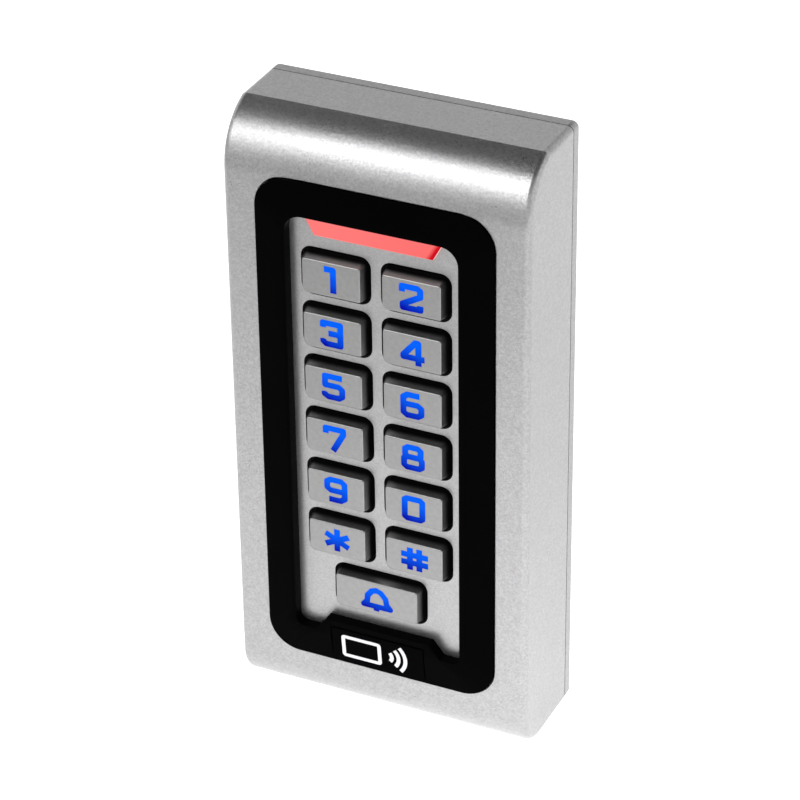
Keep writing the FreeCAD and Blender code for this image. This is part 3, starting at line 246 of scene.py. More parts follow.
class Graph(NodeTree):
    """The nodes of one material."""

    def __init__(self, name: str) -> None:
        """Starts a material with a plain surface.

        Args:
            name: The material's name.
        """
        self.material = bpy.data.materials.new(name)
        self.material.use_nodes = True
        super().__init__(self.material.node_tree)
        self.surface = self.tree.nodes["Principled BSDF"]
        self.place = self.node("ShaderNodeTexCoord").outputs["Object"]

    def noise(
        self, scale: float, detail: float = 2.0, rough: float = 0.5,
        place: Optional[bpy.types.NodeSocket] = None,
    ) -> Term:
        """Soft random blotches.

        Args:
            scale: Blotches per metre.
            detail: How many finer layers lie on top.
            rough: How strong the finer layers are.
            place: The point to read, or None for the object's own.

        Returns:
            A number from nought to one.
        """
        point = place or self.place
        sizes = {"Vector": point, "Scale": scale, "Detail": detail, "Roughness": rough}
        return Term(self, self.node("ShaderNodeTexNoise", {}, sizes).outputs["Fac"])

    def flakes(self, scale: float) -> Term:
        """Small cells with a random number each.

        Args:
            scale: Cells per metre.

        Returns:
            A number from nought to one.
        """
        cells = self.node("ShaderNodeTexVoronoi", {}, {"Vector": self.place, "Scale": scale})
        split = self.node("ShaderNodeSeparateColor", {}, {"Color": cells.outputs["Color"]})
        return Term(self, split.outputs[0])

    def level(self) -> Term:
        """How far off the wall the surface is, in millimetres."""
        return self.axis(self.place, "Y") * (-1.0 / MM)

    def face_map(self) -> bpy.types.NodeSocket:
        """The piece's own map, which runs from nought to one across and up its face."""
        return self.node("ShaderNodeUVMap", {"uv_map": "face"}).outputs["UV"]

    def stretched(self, factors: Place) -> bpy.types.NodeSocket:
        """The object's own point with each axis scaled.

        Args:
            factors: A factor for each axis.

        Returns:
            The scaled point.
        """
        made = self.node("ShaderNodeMapping", {}, {"Vector": self.place, "Scale": factors})
        return made.outputs["Vector"]

    def mix(self, first: object, second: object, share: Number) -> bpy.types.NodeSocket:
        """Blends two colours.

        Args:
            first: The colour at nought.
            second: The colour at one.
            share: How much of the second.

        Returns:
            The blended colour.
        """
        made = self.node("ShaderNodeMix", {"data_type": "RGBA"}, {"Factor": share})
        self.feed(made.inputs[6], first)
        self.feed(made.inputs[7], second)
        return made.outputs[2]

    def bump(self, height: Term, depth: float) -> bpy.types.NodeSocket:
        """Turns a height into a bent normal.

        Args:
            height: The height, from nought to one.
            depth: How deep one is, in millimetres.

        Returns:
            The normal.
        """
        sizes = {"Strength": 1.0, "Distance": depth * MM, "Height": height}
        return self.node("ShaderNodeBump", {}, sizes).outputs["Normal"]

    def finish(self, inputs: dict) -> bpy.types.Material:
        """Feeds the surface.

        Args:
            inputs: Values or links of the surface's sockets, by name.

        Returns:
            The material.
        """
        for name, value in inputs.items():
            self.feed(self.surface.inputs[name], value)
        return self.material


@dataclass(frozen=True)
class MetalPaint:
    """Silver lacquer over cast metal, with fine flakes that catch the light."""

    name: str
    light: Colour = (0.470, 0.466, 0.471)
    dark: Colour = (0.290, 0.286, 0.292)
    flakes_per_m: float = 2800.0
    clouds_per_m: float = 55.0
    roughness: float = 0.32
    metallic: float = 0.92
    grain_depth: float = 0.095
    speck_pitch: float = 0.55
    speck_share: float = 0.45
    cloud_share: float = 0.15
    speck_spread: float = 0.22
    cloud_spread: float = 0.10
    flake_relief: float = 0.6

    def build(self) -> bpy.types.Material:
        """Builds the paint.

        Returns:
            The material.
        """
        graph = Graph(self.name)
        flake = graph.flakes(self.flakes_per_m)
        speck = graph.noise(self.flakes_per_m * self.speck_pitch, 3.0, 0.7)
        cloud = graph.noise(self.clouds_per_m, 3.0)
        grain = flake * (1 - self.speck_share) + speck.held(*MID_STRETCH) * self.speck_share
        shade = grain * (1 - self.cloud_share) + cloud * self.cloud_share
        uneven = (speck - 0.5) * self.speck_spread + (cloud - 0.5) * self.cloud_spread
        relief = flake * self.flake_relief + speck * (1 - self.flake_relief)
        return graph.finish({
            "Base Color": graph.mix(self.dark, self.light, shade),
            "Metallic": self.metallic,
            "Roughness": uneven + self.roughness,
            "Normal": graph.bump(relief, self.grain_depth),
        })


@dataclass(frozen=True)
class SatinMetal:
    """Smooth satin metal of the key caps, faintly blotched, with painted shade that darkens it down
    their walls.
    """

    name: str
    light: Colour = (0.315, 0.313, 0.311)
    dark: Colour = (0.230, 0.228, 0.227)
    shadow: Colour = (0.002, 0.002, 0.002)
    shadow_level: float = 24.1
    face_level: float = 26.62
    fall: float = 1.7
    blotches_per_m: float = 900.0
    grains_per_blotch: float = 6.0
    grain_share: float = 0.4
    roughness: float = 0.34
    metallic: float = 0.9
    blotch_spread: float = 0.12
    relief: float = 0.004
    blotch_relief: float = 0.3

    def build(self) -> bpy.types.Material:
        """Builds the cap metal.

        Returns:
            The material.
        """
        graph = Graph(self.name)
        blotch = graph.noise(self.blotches_per_m, 4.0, 0.6)
        grain = graph.noise(self.blotches_per_m * self.grains_per_blotch, 2.0)
        shade = blotch.held(*MID_STRETCH) * (1 - self.grain_share) + grain * self.grain_share
        metal = graph.mix(self.dark, self.light, shade)
        # Painted shade: the cap walls fade from the metal at the face to near black at the plate.
        rise = graph.level().held(self.shadow_level, self.face_level) ** self.fall
        return graph.finish({
            "Base Color": graph.mix(self.shadow, metal, rise),
            "Metallic": self.metallic,
            "Roughness": self.roughness + (blotch - 0.5) * self.blotch_spread,
            "Normal": graph.bump(
                grain * (1 - self.blotch_relief) + blotch * self.blotch_relief, self.relief,
            ),
        })


@dataclass(frozen=True)
class Gloss:
    """Polished dark plastic with a faint ripple and a few dull patches."""

    name: str
    colour: Colour = (0.0007, 0.0007, 0.0008)
    roughness: float = 0.10
    shine: float = 0.006
    ripples_per_m: float = 160.0
    ripple_depth: float = 0.006
    patches_per_m: float = 45.0
    patch_dulling: float = 0.05
    patch_reach: tuple = (0.35, 0.75)
    paler_share: float = 2.0

    def build(self) -> bpy.types.Material:
        """Builds the polished plastic.

        Returns:
            The material.
        """
        graph = Graph(self.name)
        ripple = graph.noise(self.ripples_per_m, 2.0)
        patch = graph.noise(self.patches_per_m, 4.0, 0.6)
        paler = tuple(part * self.paler_share for part in self.colour)
        return graph.finish({
            "Base Color": graph.mix(self.colour, paler, patch),
            "Roughness": self.roughness + patch.held(*self.patch_reach) * self.patch_dulling,
            "Specular IOR Level": self.shine,
            "Normal": graph.bump(ripple, self.ripple_depth),
        })


@dataclass(frozen=True)
class Moulded:
    """Matt moulded plastic or rubber with a fine spark-eroded grain."""

    name: str
    colour: Colour
    roughness: float = 0.55
    grain_per_m: float = 1800.0
    grain_depth: float = 0.02
    contrast: float = 0.25
    shine: float = 0.5
    wear_per_m: float = 70.0
    wear_share: float = 0.6
    grain_spread: float = 0.2

    def build(self) -> bpy.types.Material:
        """Builds the moulded plastic.

        Returns:
            The material.
        """
        graph = Graph(self.name)
        grain = graph.noise(self.grain_per_m, 3.0, 0.6)
        wear = graph.noise(self.wear_per_m, 4.0)
        worn = tuple(min(1.0, part * (1 + self.contrast)) for part in self.colour)
        return graph.finish({
            "Base Color": graph.mix(
                self.colour, worn, wear * self.wear_share + grain * (1 - self.wear_share),
            ),
            "Roughness": self.roughness + (grain - 0.5) * self.grain_spread,
            "Specular IOR Level": self.shine,
            "Normal": graph.bump(grain, self.grain_depth),
        })


@dataclass(frozen=True)
class BareMetal:
    """Turned or drawn metal with fine tool marks along one axis."""

    name: str
    colour: Colour
    roughness: float = 0.28
    marks: Place = (300.0, 6000.0, 300.0)
    mark_depth: float = 0.006
    mark_share: float = 0.4
    mark_spread: float = 0.25
    tarnish_per_m: float = 260.0
    tarnish_dulling: float = 0.08
    dull_share: float = 0.68

    def build(self) -> bpy.types.Material:
        """Builds the metal.

        Returns:
            The material.
        """
        graph = Graph(self.name)
        marks = graph.noise(1.0, 3.0, 0.6, graph.stretched(self.marks))
        tarnish = graph.noise(self.tarnish_per_m, 3.0)
        dull = tuple(part * self.dull_share for part in self.colour)
        shade = tarnish * (1 - self.mark_share) + marks * self.mark_share
        uneven = (marks - 0.5) * self.mark_spread + tarnish * self.tarnish_dulling
        return graph.finish({
            "Base Color": graph.mix(self.colour, dull, shade),
            "Metallic": 1.0,
            "Roughness": uneven + self.roughness,
            "Normal": graph.bump(marks, self.mark_depth),
        })


@dataclass(frozen=True)
class Glow:
    """Lit plastic whose light is stronger at one end of its own map."""

    name: str
    low: Colour
    high: Colour
    strength: float = 1.0
    from_map: bool = True
    roughness: float = 0.35
    shine: float = 0.02
    clouds_per_m: float = 420.0
    cloud_share: float = 0.25
    rise_share: float = 0.8
    reach: tuple = (0.08, 0.72)

    def build(self) -> bpy.types.Material:
        """Builds the lit plastic.

        Returns:
            The material.
        """
        graph = Graph(self.name)
        cloud = graph.noise(self.clouds_per_m, 3.0)
        rise = cloud
        if self.from_map:
            spot = graph.face_map()
            up, across = graph.axis(spot, "Y"), graph.axis(spot, "X")
            rise = up * self.rise_share + across * (1 - self.rise_share)
        share = (rise + (cloud - 0.5) * self.cloud_share).held(*self.reach)
        return graph.finish({
            "Base Color": graph.mix((0.0, 0.0, 0.0), self.low, cloud * UNLIT_SHARE),
            "Roughness": self.roughness + cloud * CLOUD_DULLING,
            "Specular IOR Level": self.shine,
            "Emission Color": graph.mix(self.low, self.high, share),
            "Emission Strength": self.strength,
        })


@dataclass(frozen=True)
class LitBar:
    """Lit red lens: pale over its length and deep red at its right end; its pale foot is a painted
    highlight in a material of its own.
    """

    name: str
    pale: Colour = (1.0, 0.215, 0.205)
    warm: Colour = (0.93, 0.160, 0.155)
    deep: Colour = (0.60, 0.0, 0.010)
    end_slant: float = 0.083
    deep_reach: tuple = (0.952, 0.984)
    warm_reach: tuple = (0.2, 0.95)
    warm_share: float = 0.7
    strength: float = 0.98
    unlit: Colour = (0.02, 0.0, 0.0)
    roughness: float = 0.35
    shine: float = 0.05
    clouds_per_m: float = 300.0
    wander: float = 0.012

    def build(self) -> bpy.types.Material:
        """Builds the lens.

        Returns:
            The material.
        """
        graph = Graph(self.name)
        spot = graph.face_map()
        cloud = graph.noise(self.clouds_per_m, 3.0)
        fall = (1.0 - graph.axis(spot, "Y")) * self.end_slant
        along = graph.axis(spot, "X") + fall + (cloud - 0.5) * self.wander
        warmth = along.held(*self.warm_reach) * self.warm_share + cloud * (1 - self.warm_share)
        middle = graph.mix(self.pale, self.warm, warmth)
        return graph.finish({
            "Base Color": graph.mix(self.unlit, self.deep, cloud * CLOUD_DULLING),
            "Roughness": self.roughness + cloud * CLOUD_DULLING,
            "Specular IOR Level": self.shine,
            "Emission Color": graph.mix(middle, self.deep, along.held(*self.deep_reach)),
            "Emission Strength": self.strength,
        })


@dataclass(frozen=True)
class BoardLacquer:
    """Green solder lacquer over copper tracks that run both ways."""

    name: str
    lacquer: Colour = (0.010, 0.085, 0.030)
    track: Colour = (0.030, 0.190, 0.060)
    tracks_per_m: float = 196.0
    track_width: float = 0.045
    track_share: float = 0.8
    clouds_per_m: float = 90.0
    roughness: float = 0.28
    cloud_dulling: float = 0.12
    coat: float = 0.3
    track_relief: float = 0.03

    def build(self) -> bpy.types.Material:
        """Builds the board's lacquer.

        Returns:
            The material.
        """
        graph = Graph(self.name)
        flat = graph.node(
            "ShaderNodeMapping", {}, {"Vector": graph.place, "Rotation": (math.pi / 2, 0.0, 0.0)},
        )
        cells = graph.node("ShaderNodeTexBrick", {"offset": 0.37, "squash": 1.4}, {
            "Vector": flat.outputs["Vector"], "Scale": self.tracks_per_m,
            "Mortar Size": self.track_width, "Mortar Smooth": 0.2,
            "Color1": (0.0, 0.0, 0.0), "Color2": (0.0, 0.0, 0.0), "Mortar": (1.0, 1.0, 1.0),
        })
        lines = Term(graph, cells.outputs["Fac"])
        cloud = graph.noise(self.clouds_per_m, 3.0)
        shade = lines * self.track_share + cloud * (1 - self.track_share)
        return graph.finish({
            "Base Color": graph.mix(self.lacquer, self.track, shade),
            "Roughness": self.roughness + cloud * self.cloud_dulling,
            "Coat Weight": self.coat + cloud * CLOUD_DULLING,
            "Normal": graph.bump(lines, self.track_relief),
        })


@dataclass(frozen=True)
class FloorPaint:
    """Pale studio floor that glows with painted light: a pool brightest at the reader's foot and
    least far in front.
    """

    name: str = "studio_floor"
    colour: Colour = (0.90, 0.90, 0.90)
    dim: Colour = (0.08, 0.08, 0.08)
    even: Colour = (0.80, 0.80, 0.80)
    bright: Colour = (1.35, 1.35, 1.35)
    foot_m: Place = (0.060, -0.050, 0.0)
    foot_radii_m: tuple = (0.030, 0.230)
    front_slope: float = 0.45
    front_reach_m: tuple = (-0.400, -0.100)
    clouds_per_m: float = 3.0
    cloud_rise: float = 0.015
    roughness: float = 0.85
    shine: float = 0.1

    def build(self) -> bpy.types.Material:
        """Builds the floor's paint.

        Returns:
            The material.
        """
        graph = Graph(self.name)
        cloud = graph.noise(self.clouds_per_m)
        paler = tuple(min(1.0, part + self.cloud_rise) for part in self.colour)
        near, far = self.foot_radii_m
        flat = graph.stretched((1.0, 1.0, 0.0))
        points = {0: flat, 1: self.foot_m}
        gap = graph.node("ShaderNodeVectorMath", {"operation": "DISTANCE"}, points)
        foot_pool = 1.0 - Term(graph, gap.outputs["Value"]).held(near, far)
        depth = graph.axis(graph.place, "Y") + graph.axis(graph.place, "X") * self.front_slope
        behind = depth.held(*self.front_reach_m)
        # Painted light: the floor glows in a pool around the reader's foot and dims far in front.
        glow = graph.mix(graph.mix(self.dim, self.even, behind), self.bright, foot_pool * foot_pool)
        return graph.finish({
            "Base Color": graph.mix(self.colour, paler, cloud),
            "Roughness": self.roughness,
            "Specular IOR Level": self.shine,
            "Emission Color": glow,
            "Emission Strength": 1.0,
        })


SILVER = MetalPaint("silver_casting").build()
SILVER_COVER = MetalPaint("silver_cover", roughness=0.40).build()
SILVER_PLATE = MetalPaint(
    "silver_plate", light=(0.440, 0.436, 0.432), flakes_per_m=4200.0, grain_depth=0.022,
).build()
KEY_METAL = SatinMetal("key_caps").build()
KEY_BASE = Moulded("key_base", (0.003, 0.003, 0.003), roughness=0.6, shine=0.1).build()
GLOSS_BLACK = Gloss("surround_gloss").build()
LABEL_FILM = Moulded(
    "label_film", (0.0009, 0.0009, 0.0011), roughness=0.32, grain_depth=0.004, contrast=0.6,
    shine=0.004,
).build()
LABEL_PRINT = Moulded("label_print", (0.62, 0.62, 0.64), roughness=0.45, grain_depth=0.004).build()
BLUE_LIGHT = Glow("blue_light", (0.0, 0.004, 0.40), (0.0, 0.125, 1.0), 1.0).build()
RED_FACE = LitBar("red_face").build()
# Painted highlight: the bar's down-facing foot glows pale.
RED_FOOT_HIGHLIGHT = Glow("red_foot_highlight", (0.95, 0.42, 0.40), (1.0, 0.66, 0.62), 1.0, from_map=False).build()
RED_SIDE = Glow("red_side", (0.45, 0.0, 0.004), (0.78, 0.012, 0.02), 0.9, from_map=False).build()
RED_LAMP = Glow("red_lamp", (0.6, 0.01, 0.01), (1.0, 0.05, 0.04), 1.0, from_map=False).build()
BLUE_LAMP = Glow("blue_lamp", (0.0, 0.01, 0.5), (0.05, 0.2, 1.0), 1.0, from_map=False).build()
RUBBER = Moulded("seal_rubber", (0.012, 0.012, 0.013), roughness=0.75, grain_depth=0.03).build()
SILICONE = Moulded("mat_silicone", (0.55, 0.57, 0.58), roughness=0.5, grain_depth=0.01).build()
STEEL = BareMetal("screw_steel", (0.62, 0.61, 0.60)).build()
BRASS = BareMetal("brass_parts", (0.80, 0.56, 0.22)).build()
COPPER = BareMetal("coil_copper", (0.85, 0.38, 0.16), marks=(900.0, 900.0, 900.0)).build()
CARRIER = Moulded("carrier_plastic", (0.016, 0.016, 0.017), roughness=0.5).build()
CHIP_BLACK = Moulded(
    "chip_black", (0.014, 0.014, 0.015), roughness=0.62, grain_per_m=5200.0,
).build()
RELAY_BLUE = Moulded("relay_plastic", (0.012, 0.08, 0.30), roughness=0.35).build()
TERMINAL_GREEN = Moulded("terminal_green", (0.02, 0.23, 0.05), roughness=0.4).build()
LENS = Gloss("sensor_lens", (0.03, 0.004, 0.006), 0.08, 0.5).build()
BOARD = BoardLacquer("board_lacquer").build()


# ---- meshes ----


class Solid:
    """A mesh while it is being shaped."""

    def __init__(self) -> None:
        """Starts an empty mesh."""
        self.mesh = bmesh.new()

    @classmethod
    def of_node(cls, node: str) -> "Solid":
        """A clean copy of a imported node: one skin, with its flat faces whole.

        Args:
            node: The node's name.

        Returns:
            The copy.
        """
        made = cls()
        made.mesh.from_mesh(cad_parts[node].data)
        bmesh.ops.remove_doubles(made.mesh, verts=made.mesh.verts, dist=MERGE_M)
        bmesh.ops.dissolve_limit(
            made.mesh, verts=made.mesh.verts, edges=made.mesh.edges, angle_limit=FLAT_ANGLE,
        )
        for layer in list(made.mesh.loops.layers.uv):
            made.mesh.loops.layers.uv.remove(layer)
        return made

    @classmethod
    def block(cls, low: Iterable[float], high: Iterable[float]) -> "Solid":
        """A box between two corners.

        Args:
            low: The lowest corner, in millimetres.
            high: The highest corner, in millimetres.

        Returns:
            The box.
        """
        made = cls()
        first, last = Vector(low) * MM, Vector(high) * MM
        place = Matrix.Translation((first + last) / 2) @ Matrix.Diagonal((*(last - first), 1.0))
        bmesh.ops.create_cube(made.mesh, size=1.0, matrix=place)
        return made

    def soften(
        self, radius: float, segments: int = 3, wanted: Optional[EdgeTest] = None,
    ) -> "Solid":
        """Rounds the outward sharp edges.

        Args:
            radius: The rounding, in millimetres.
            segments: How many faces it takes.
            wanted: A further test that an edge has to pass.

        Returns:
            The same mesh.
        """
        edges = [
            edge for edge in self.mesh.edges
            if edge.is_manifold and edge.is_convex and edge.calc_face_angle(0.0) > SHARP_ANGLE
            and (wanted is None or wanted(edge))
        ]
        bmesh.ops.bevel(
            self.mesh, geom=edges, offset=radius * MM, offset_type="OFFSET", affect="EDGES",
            segments=segments, profile=0.5, material=-1, clamp_overlap=True, loop_slide=True,
        )
        return self

    def map_face(self, low: Vector, high: Vector) -> "Solid":
        """Lays a map over the mesh that runs from nought to one across and up it.

        Args:
            low: The lowest corner.
            high: The highest corner.

        Returns:
            The same mesh.
        """
        layer = self.mesh.loops.layers.uv.new("face")
        span = high - low
        for face in self.mesh.faces:
            for loop in face.loops:
                offset = loop.vert.co - low
                loop[layer].uv = (offset.x / span.x, offset.z / span.z)
        return self

    def done(
        self, name: str, paints: list, body: str, slot: str, stands_for: Iterable[str] = (),
        paint_of: Optional[Callable[[bmesh.types.BMFace], int]] = None,
    ) -> bpy.types.Object:
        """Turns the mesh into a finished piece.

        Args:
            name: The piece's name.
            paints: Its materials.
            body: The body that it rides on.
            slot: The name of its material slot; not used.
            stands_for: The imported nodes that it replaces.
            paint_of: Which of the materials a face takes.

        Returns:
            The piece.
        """
        for edge in self.mesh.edges:
            edge.smooth = edge.calc_face_angle(0.0) < SMOOTH_ANGLE
        for face in self.mesh.faces:
            face.smooth = True
            face.material_index = paint_of(face) if paint_of else 0
        data = bpy.data.meshes.new(name)
        self.mesh.to_mesh(data)
        self.mesh.free()
        piece = bpy.data.objects.new(name, data)
        bpy.context.scene.collection.objects.link(piece)
        for paint in paints:
            data.materials.append(paint)
        even = piece.modifiers.new("even_normals", "WEIGHTED_NORMAL")
        even.keep_sharp = True
        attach(piece, body)
        if stands_for:
            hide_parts(*stands_for)
        LOG.info("%s: %d faces on %s", name, len(data.polygons), body)
        return piece


def dress(node: str, paint: bpy.types.Material) -> None:
    """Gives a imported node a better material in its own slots.

    Args:
        node: The node's name.
        paint: The material.
    """
    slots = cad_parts[node].material_slots
    for slot in slots:
        slot.material = paint
    LOG.info("%s: dressed in %s", node, paint.name)


def level_of(edge: bmesh.types.BMEdge) -> float:
    """How far off the wall the middle of an edge is, in millimetres."""
    return -(edge.verts[0].co.y + edge.verts[1].co.y) / 2 / MM


def above(level: float) -> EdgeTest:
    """Makes a test for edges that are further off the wall than a level.

    Args:
        level: The level, in millimetres.

    Returns:
        The test.
    """
    def test(edge: bmesh.types.BMEdge) -> bool:
        """True for an edge past the level."""
        return level_of(edge) > level

    return test


# ---- sub-assemblies ----


@dataclass(frozen=True)
class SoftBox:
    """A rectangular studio light, with its places and its size in metres."""

    name: str
    spot: Place
    target: Place
    size: tuple
    watts: float
    mirrored: bool = True

    def hang(self) -> None:
        """Puts the light in the scene, where shiny surfaces may or may not show it."""
        data = bpy.data.lights.new(self.name, "AREA")
        data.shape = "RECTANGLE"
        data.size, data.size_y = self.size
        data.energy = self.watts
        light = bpy.data.objects.new(self.name, data)
        light.location = self.spot
        aim = Vector(self.target) - Vector(self.spot)
        light.rotation_euler = aim.to_track_quat("-Z", "Y").to_euler()
        light.visible_glossy = self.mirrored
        light.visible_camera = False
        bpy.context.scene.collection.objects.link(light)


@dataclass
class Studio:
    """Camera, lights and floor."""

    azimuth: float = 25.554
    elevation: float = 30.887
    roll: float = -0.768
    lens: float = 151.632
    sensor: float = 36.0
    clip_m: tuple = (0.05, 50.0)
    aim: tuple = (-4.745, -8.992, -699.617)
    front_level: float = 25.0
    floor_size_m: float = 9.0
    floor_gap_m: float = 0.0001
    boxes: tuple = (
        SoftBox("front_box", (-0.75, -1.15, 0.86), READER_MIDDLE_M, (1.5, 0.8), 5.0),
        SoftBox("near_box", (-0.077, -0.19, 0.24), (0.03, -0.02, 0.05), (0.12, 0.12), 0.2),
        SoftBox("side_box", (1.3, -0.1, 0.5), READER_MIDDLE_M, (0.9, 0.9), 1.0),
        SoftBox("top_wash", (0.0, 0.0, 2.6), (0.0, 0.0, 0.0), (3.0, 3.0), 12.0, mirrored=False),
    )
    sky_stops: tuple = ((0.0, 0.95), (0.44, 1.0), (0.58, 0.72), (0.72, 0.16), (0.92, 0.02))

    def place_camera(self) -> None:
        """Sets the camera up from its angles and from where the reader lies in its view."""
        around, up, roll = (math.radians(a) for a in (self.azimuth, self.elevation, self.roll))
        back = Vector((
            math.sin(around) * math.cos(up), -math.cos(around) * math.cos(up), math.sin(up),
        ))
        level = Vector((0.0, 0.0, 1.0)).cross(back).normalized()
        rise = back.cross(level)
        right = level * math.cos(roll) + rise * math.sin(roll)
        top = rise * math.cos(roll) - level * math.sin(roll)
        spot = -(right * self.aim[0] + top * self.aim[1] + back * self.aim[2])
        spot += Vector((0.0, -self.front_level, 0.0))
        data = bpy.data.cameras.new("camera")
        data.lens = self.lens
        data.sensor_width = self.sensor
        data.clip_start, data.clip_end = self.clip_m
        camera = bpy.data.objects.new("camera", data)
        bpy.context.scene.collection.objects.link(camera)
        turn = Matrix((right, top, back)).transposed().to_4x4()
        camera.matrix_world = Matrix.Translation(spot * MM) @ turn
        bpy.context.scene.camera = camera

    def light(self) -> None:
        """Hangs the lights."""
        for box in self.boxes:
            box.hang()

    def hang_sky(self) -> None:
        """Sets the sky that the metal mirrors: pale at the horizon and dark overhead."""
        world = bpy.data.worlds.new("sky")
        world.use_nodes = True
        sky = NodeTree(world.node_tree)
        direction = sky.node("ShaderNodeTexCoord").outputs["Generated"]
        height = sky.axis(direction, "Z")
        ramp = sky.node("ShaderNodeValToRGB", {"stops": self.sky_stops}, {0: height})
        background = sky.tree.nodes["Background"]
        sky.feed(background.inputs["Color"], ramp.outputs[0])
        sky.feed(background.inputs["Strength"], 1.0)
        bpy.context.scene.world = world
        bpy.context.scene.view_settings.view_transform = "Standard"

    def lay_floor(self) -> None:
        """Lays the floor under the reader."""
        mesh = bmesh.new()
        bmesh.ops.create_grid(mesh, x_segments=1, y_segments=1, size=self.floor_size_m / 2)
        bmesh.ops.translate(mesh, verts=mesh.verts, vec=(0.0, 0.0, CAD_BOX[0].z - self.floor_gap_m))
        data = bpy.data.meshes.new("floor")
        mesh.to_mesh(data)
        mesh.free()
        data.materials.append(FloorPaint().build())
        floor = bpy.data.objects.new("floor", data)
        bpy.context.scene.collection.objects.link(floor)

    def build(self) -> None:
        """Sets up the whole studio."""
        self.place_camera()
        self.light()
        self.hang_sky()
        self.lay_floor()


@dataclass
class Casing:
    """Cast shell, back cover and what closes them."""

    front_level: float = 25.0
    seam_level: float = 3.25
    seam_reach: float = 0.4
    skin: float = 0.1
    rim_rounding: float = 0.30
    seam_rounding: float = 0.10

    def at_seam(self, edge: bmesh.types.BMEdge) -> bool:
        """Tests for the outer edge along the seam.

        Args:
            edge: The edge.

        Returns:
            True if it is such an edge.
        """
        high = CAD_BOX[1]
        middle = (edge.verts[0].co + edge.verts[1].co) / 2
        inset = min(high.x - abs(middle.x), high.z - abs(middle.z))
        return inset < self.skin * MM and abs(level_of(edge) - self.seam_level) < self.seam_reach

    def build(self) -> None:
        """Makes the shell and the cover, and dresses the small parts."""
        shell = Solid.of_node("front_housing")
        shell.soften(self.rim_rounding, 3, above(self.front_level - LEVEL_SLACK))
        shell.soften(self.seam_rounding, 2, self.at_seam)
        shell.done("casting_shell", [SILVER], BODY, "casting_paint", ["front_housing"])
        cover = Solid.of_node("back_cover")
        cover.soften(self.seam_rounding, 2, self.at_seam)
        cover.done("cover_tray", [SILVER_COVER], BODY, "cover_paint", ["back_cover"])
        dress("cover_gasket", RUBBER)
        dress("cable_grommet", RUBBER)
        dress("security_screw", STEEL)
        dress("security_insert", BRASS)


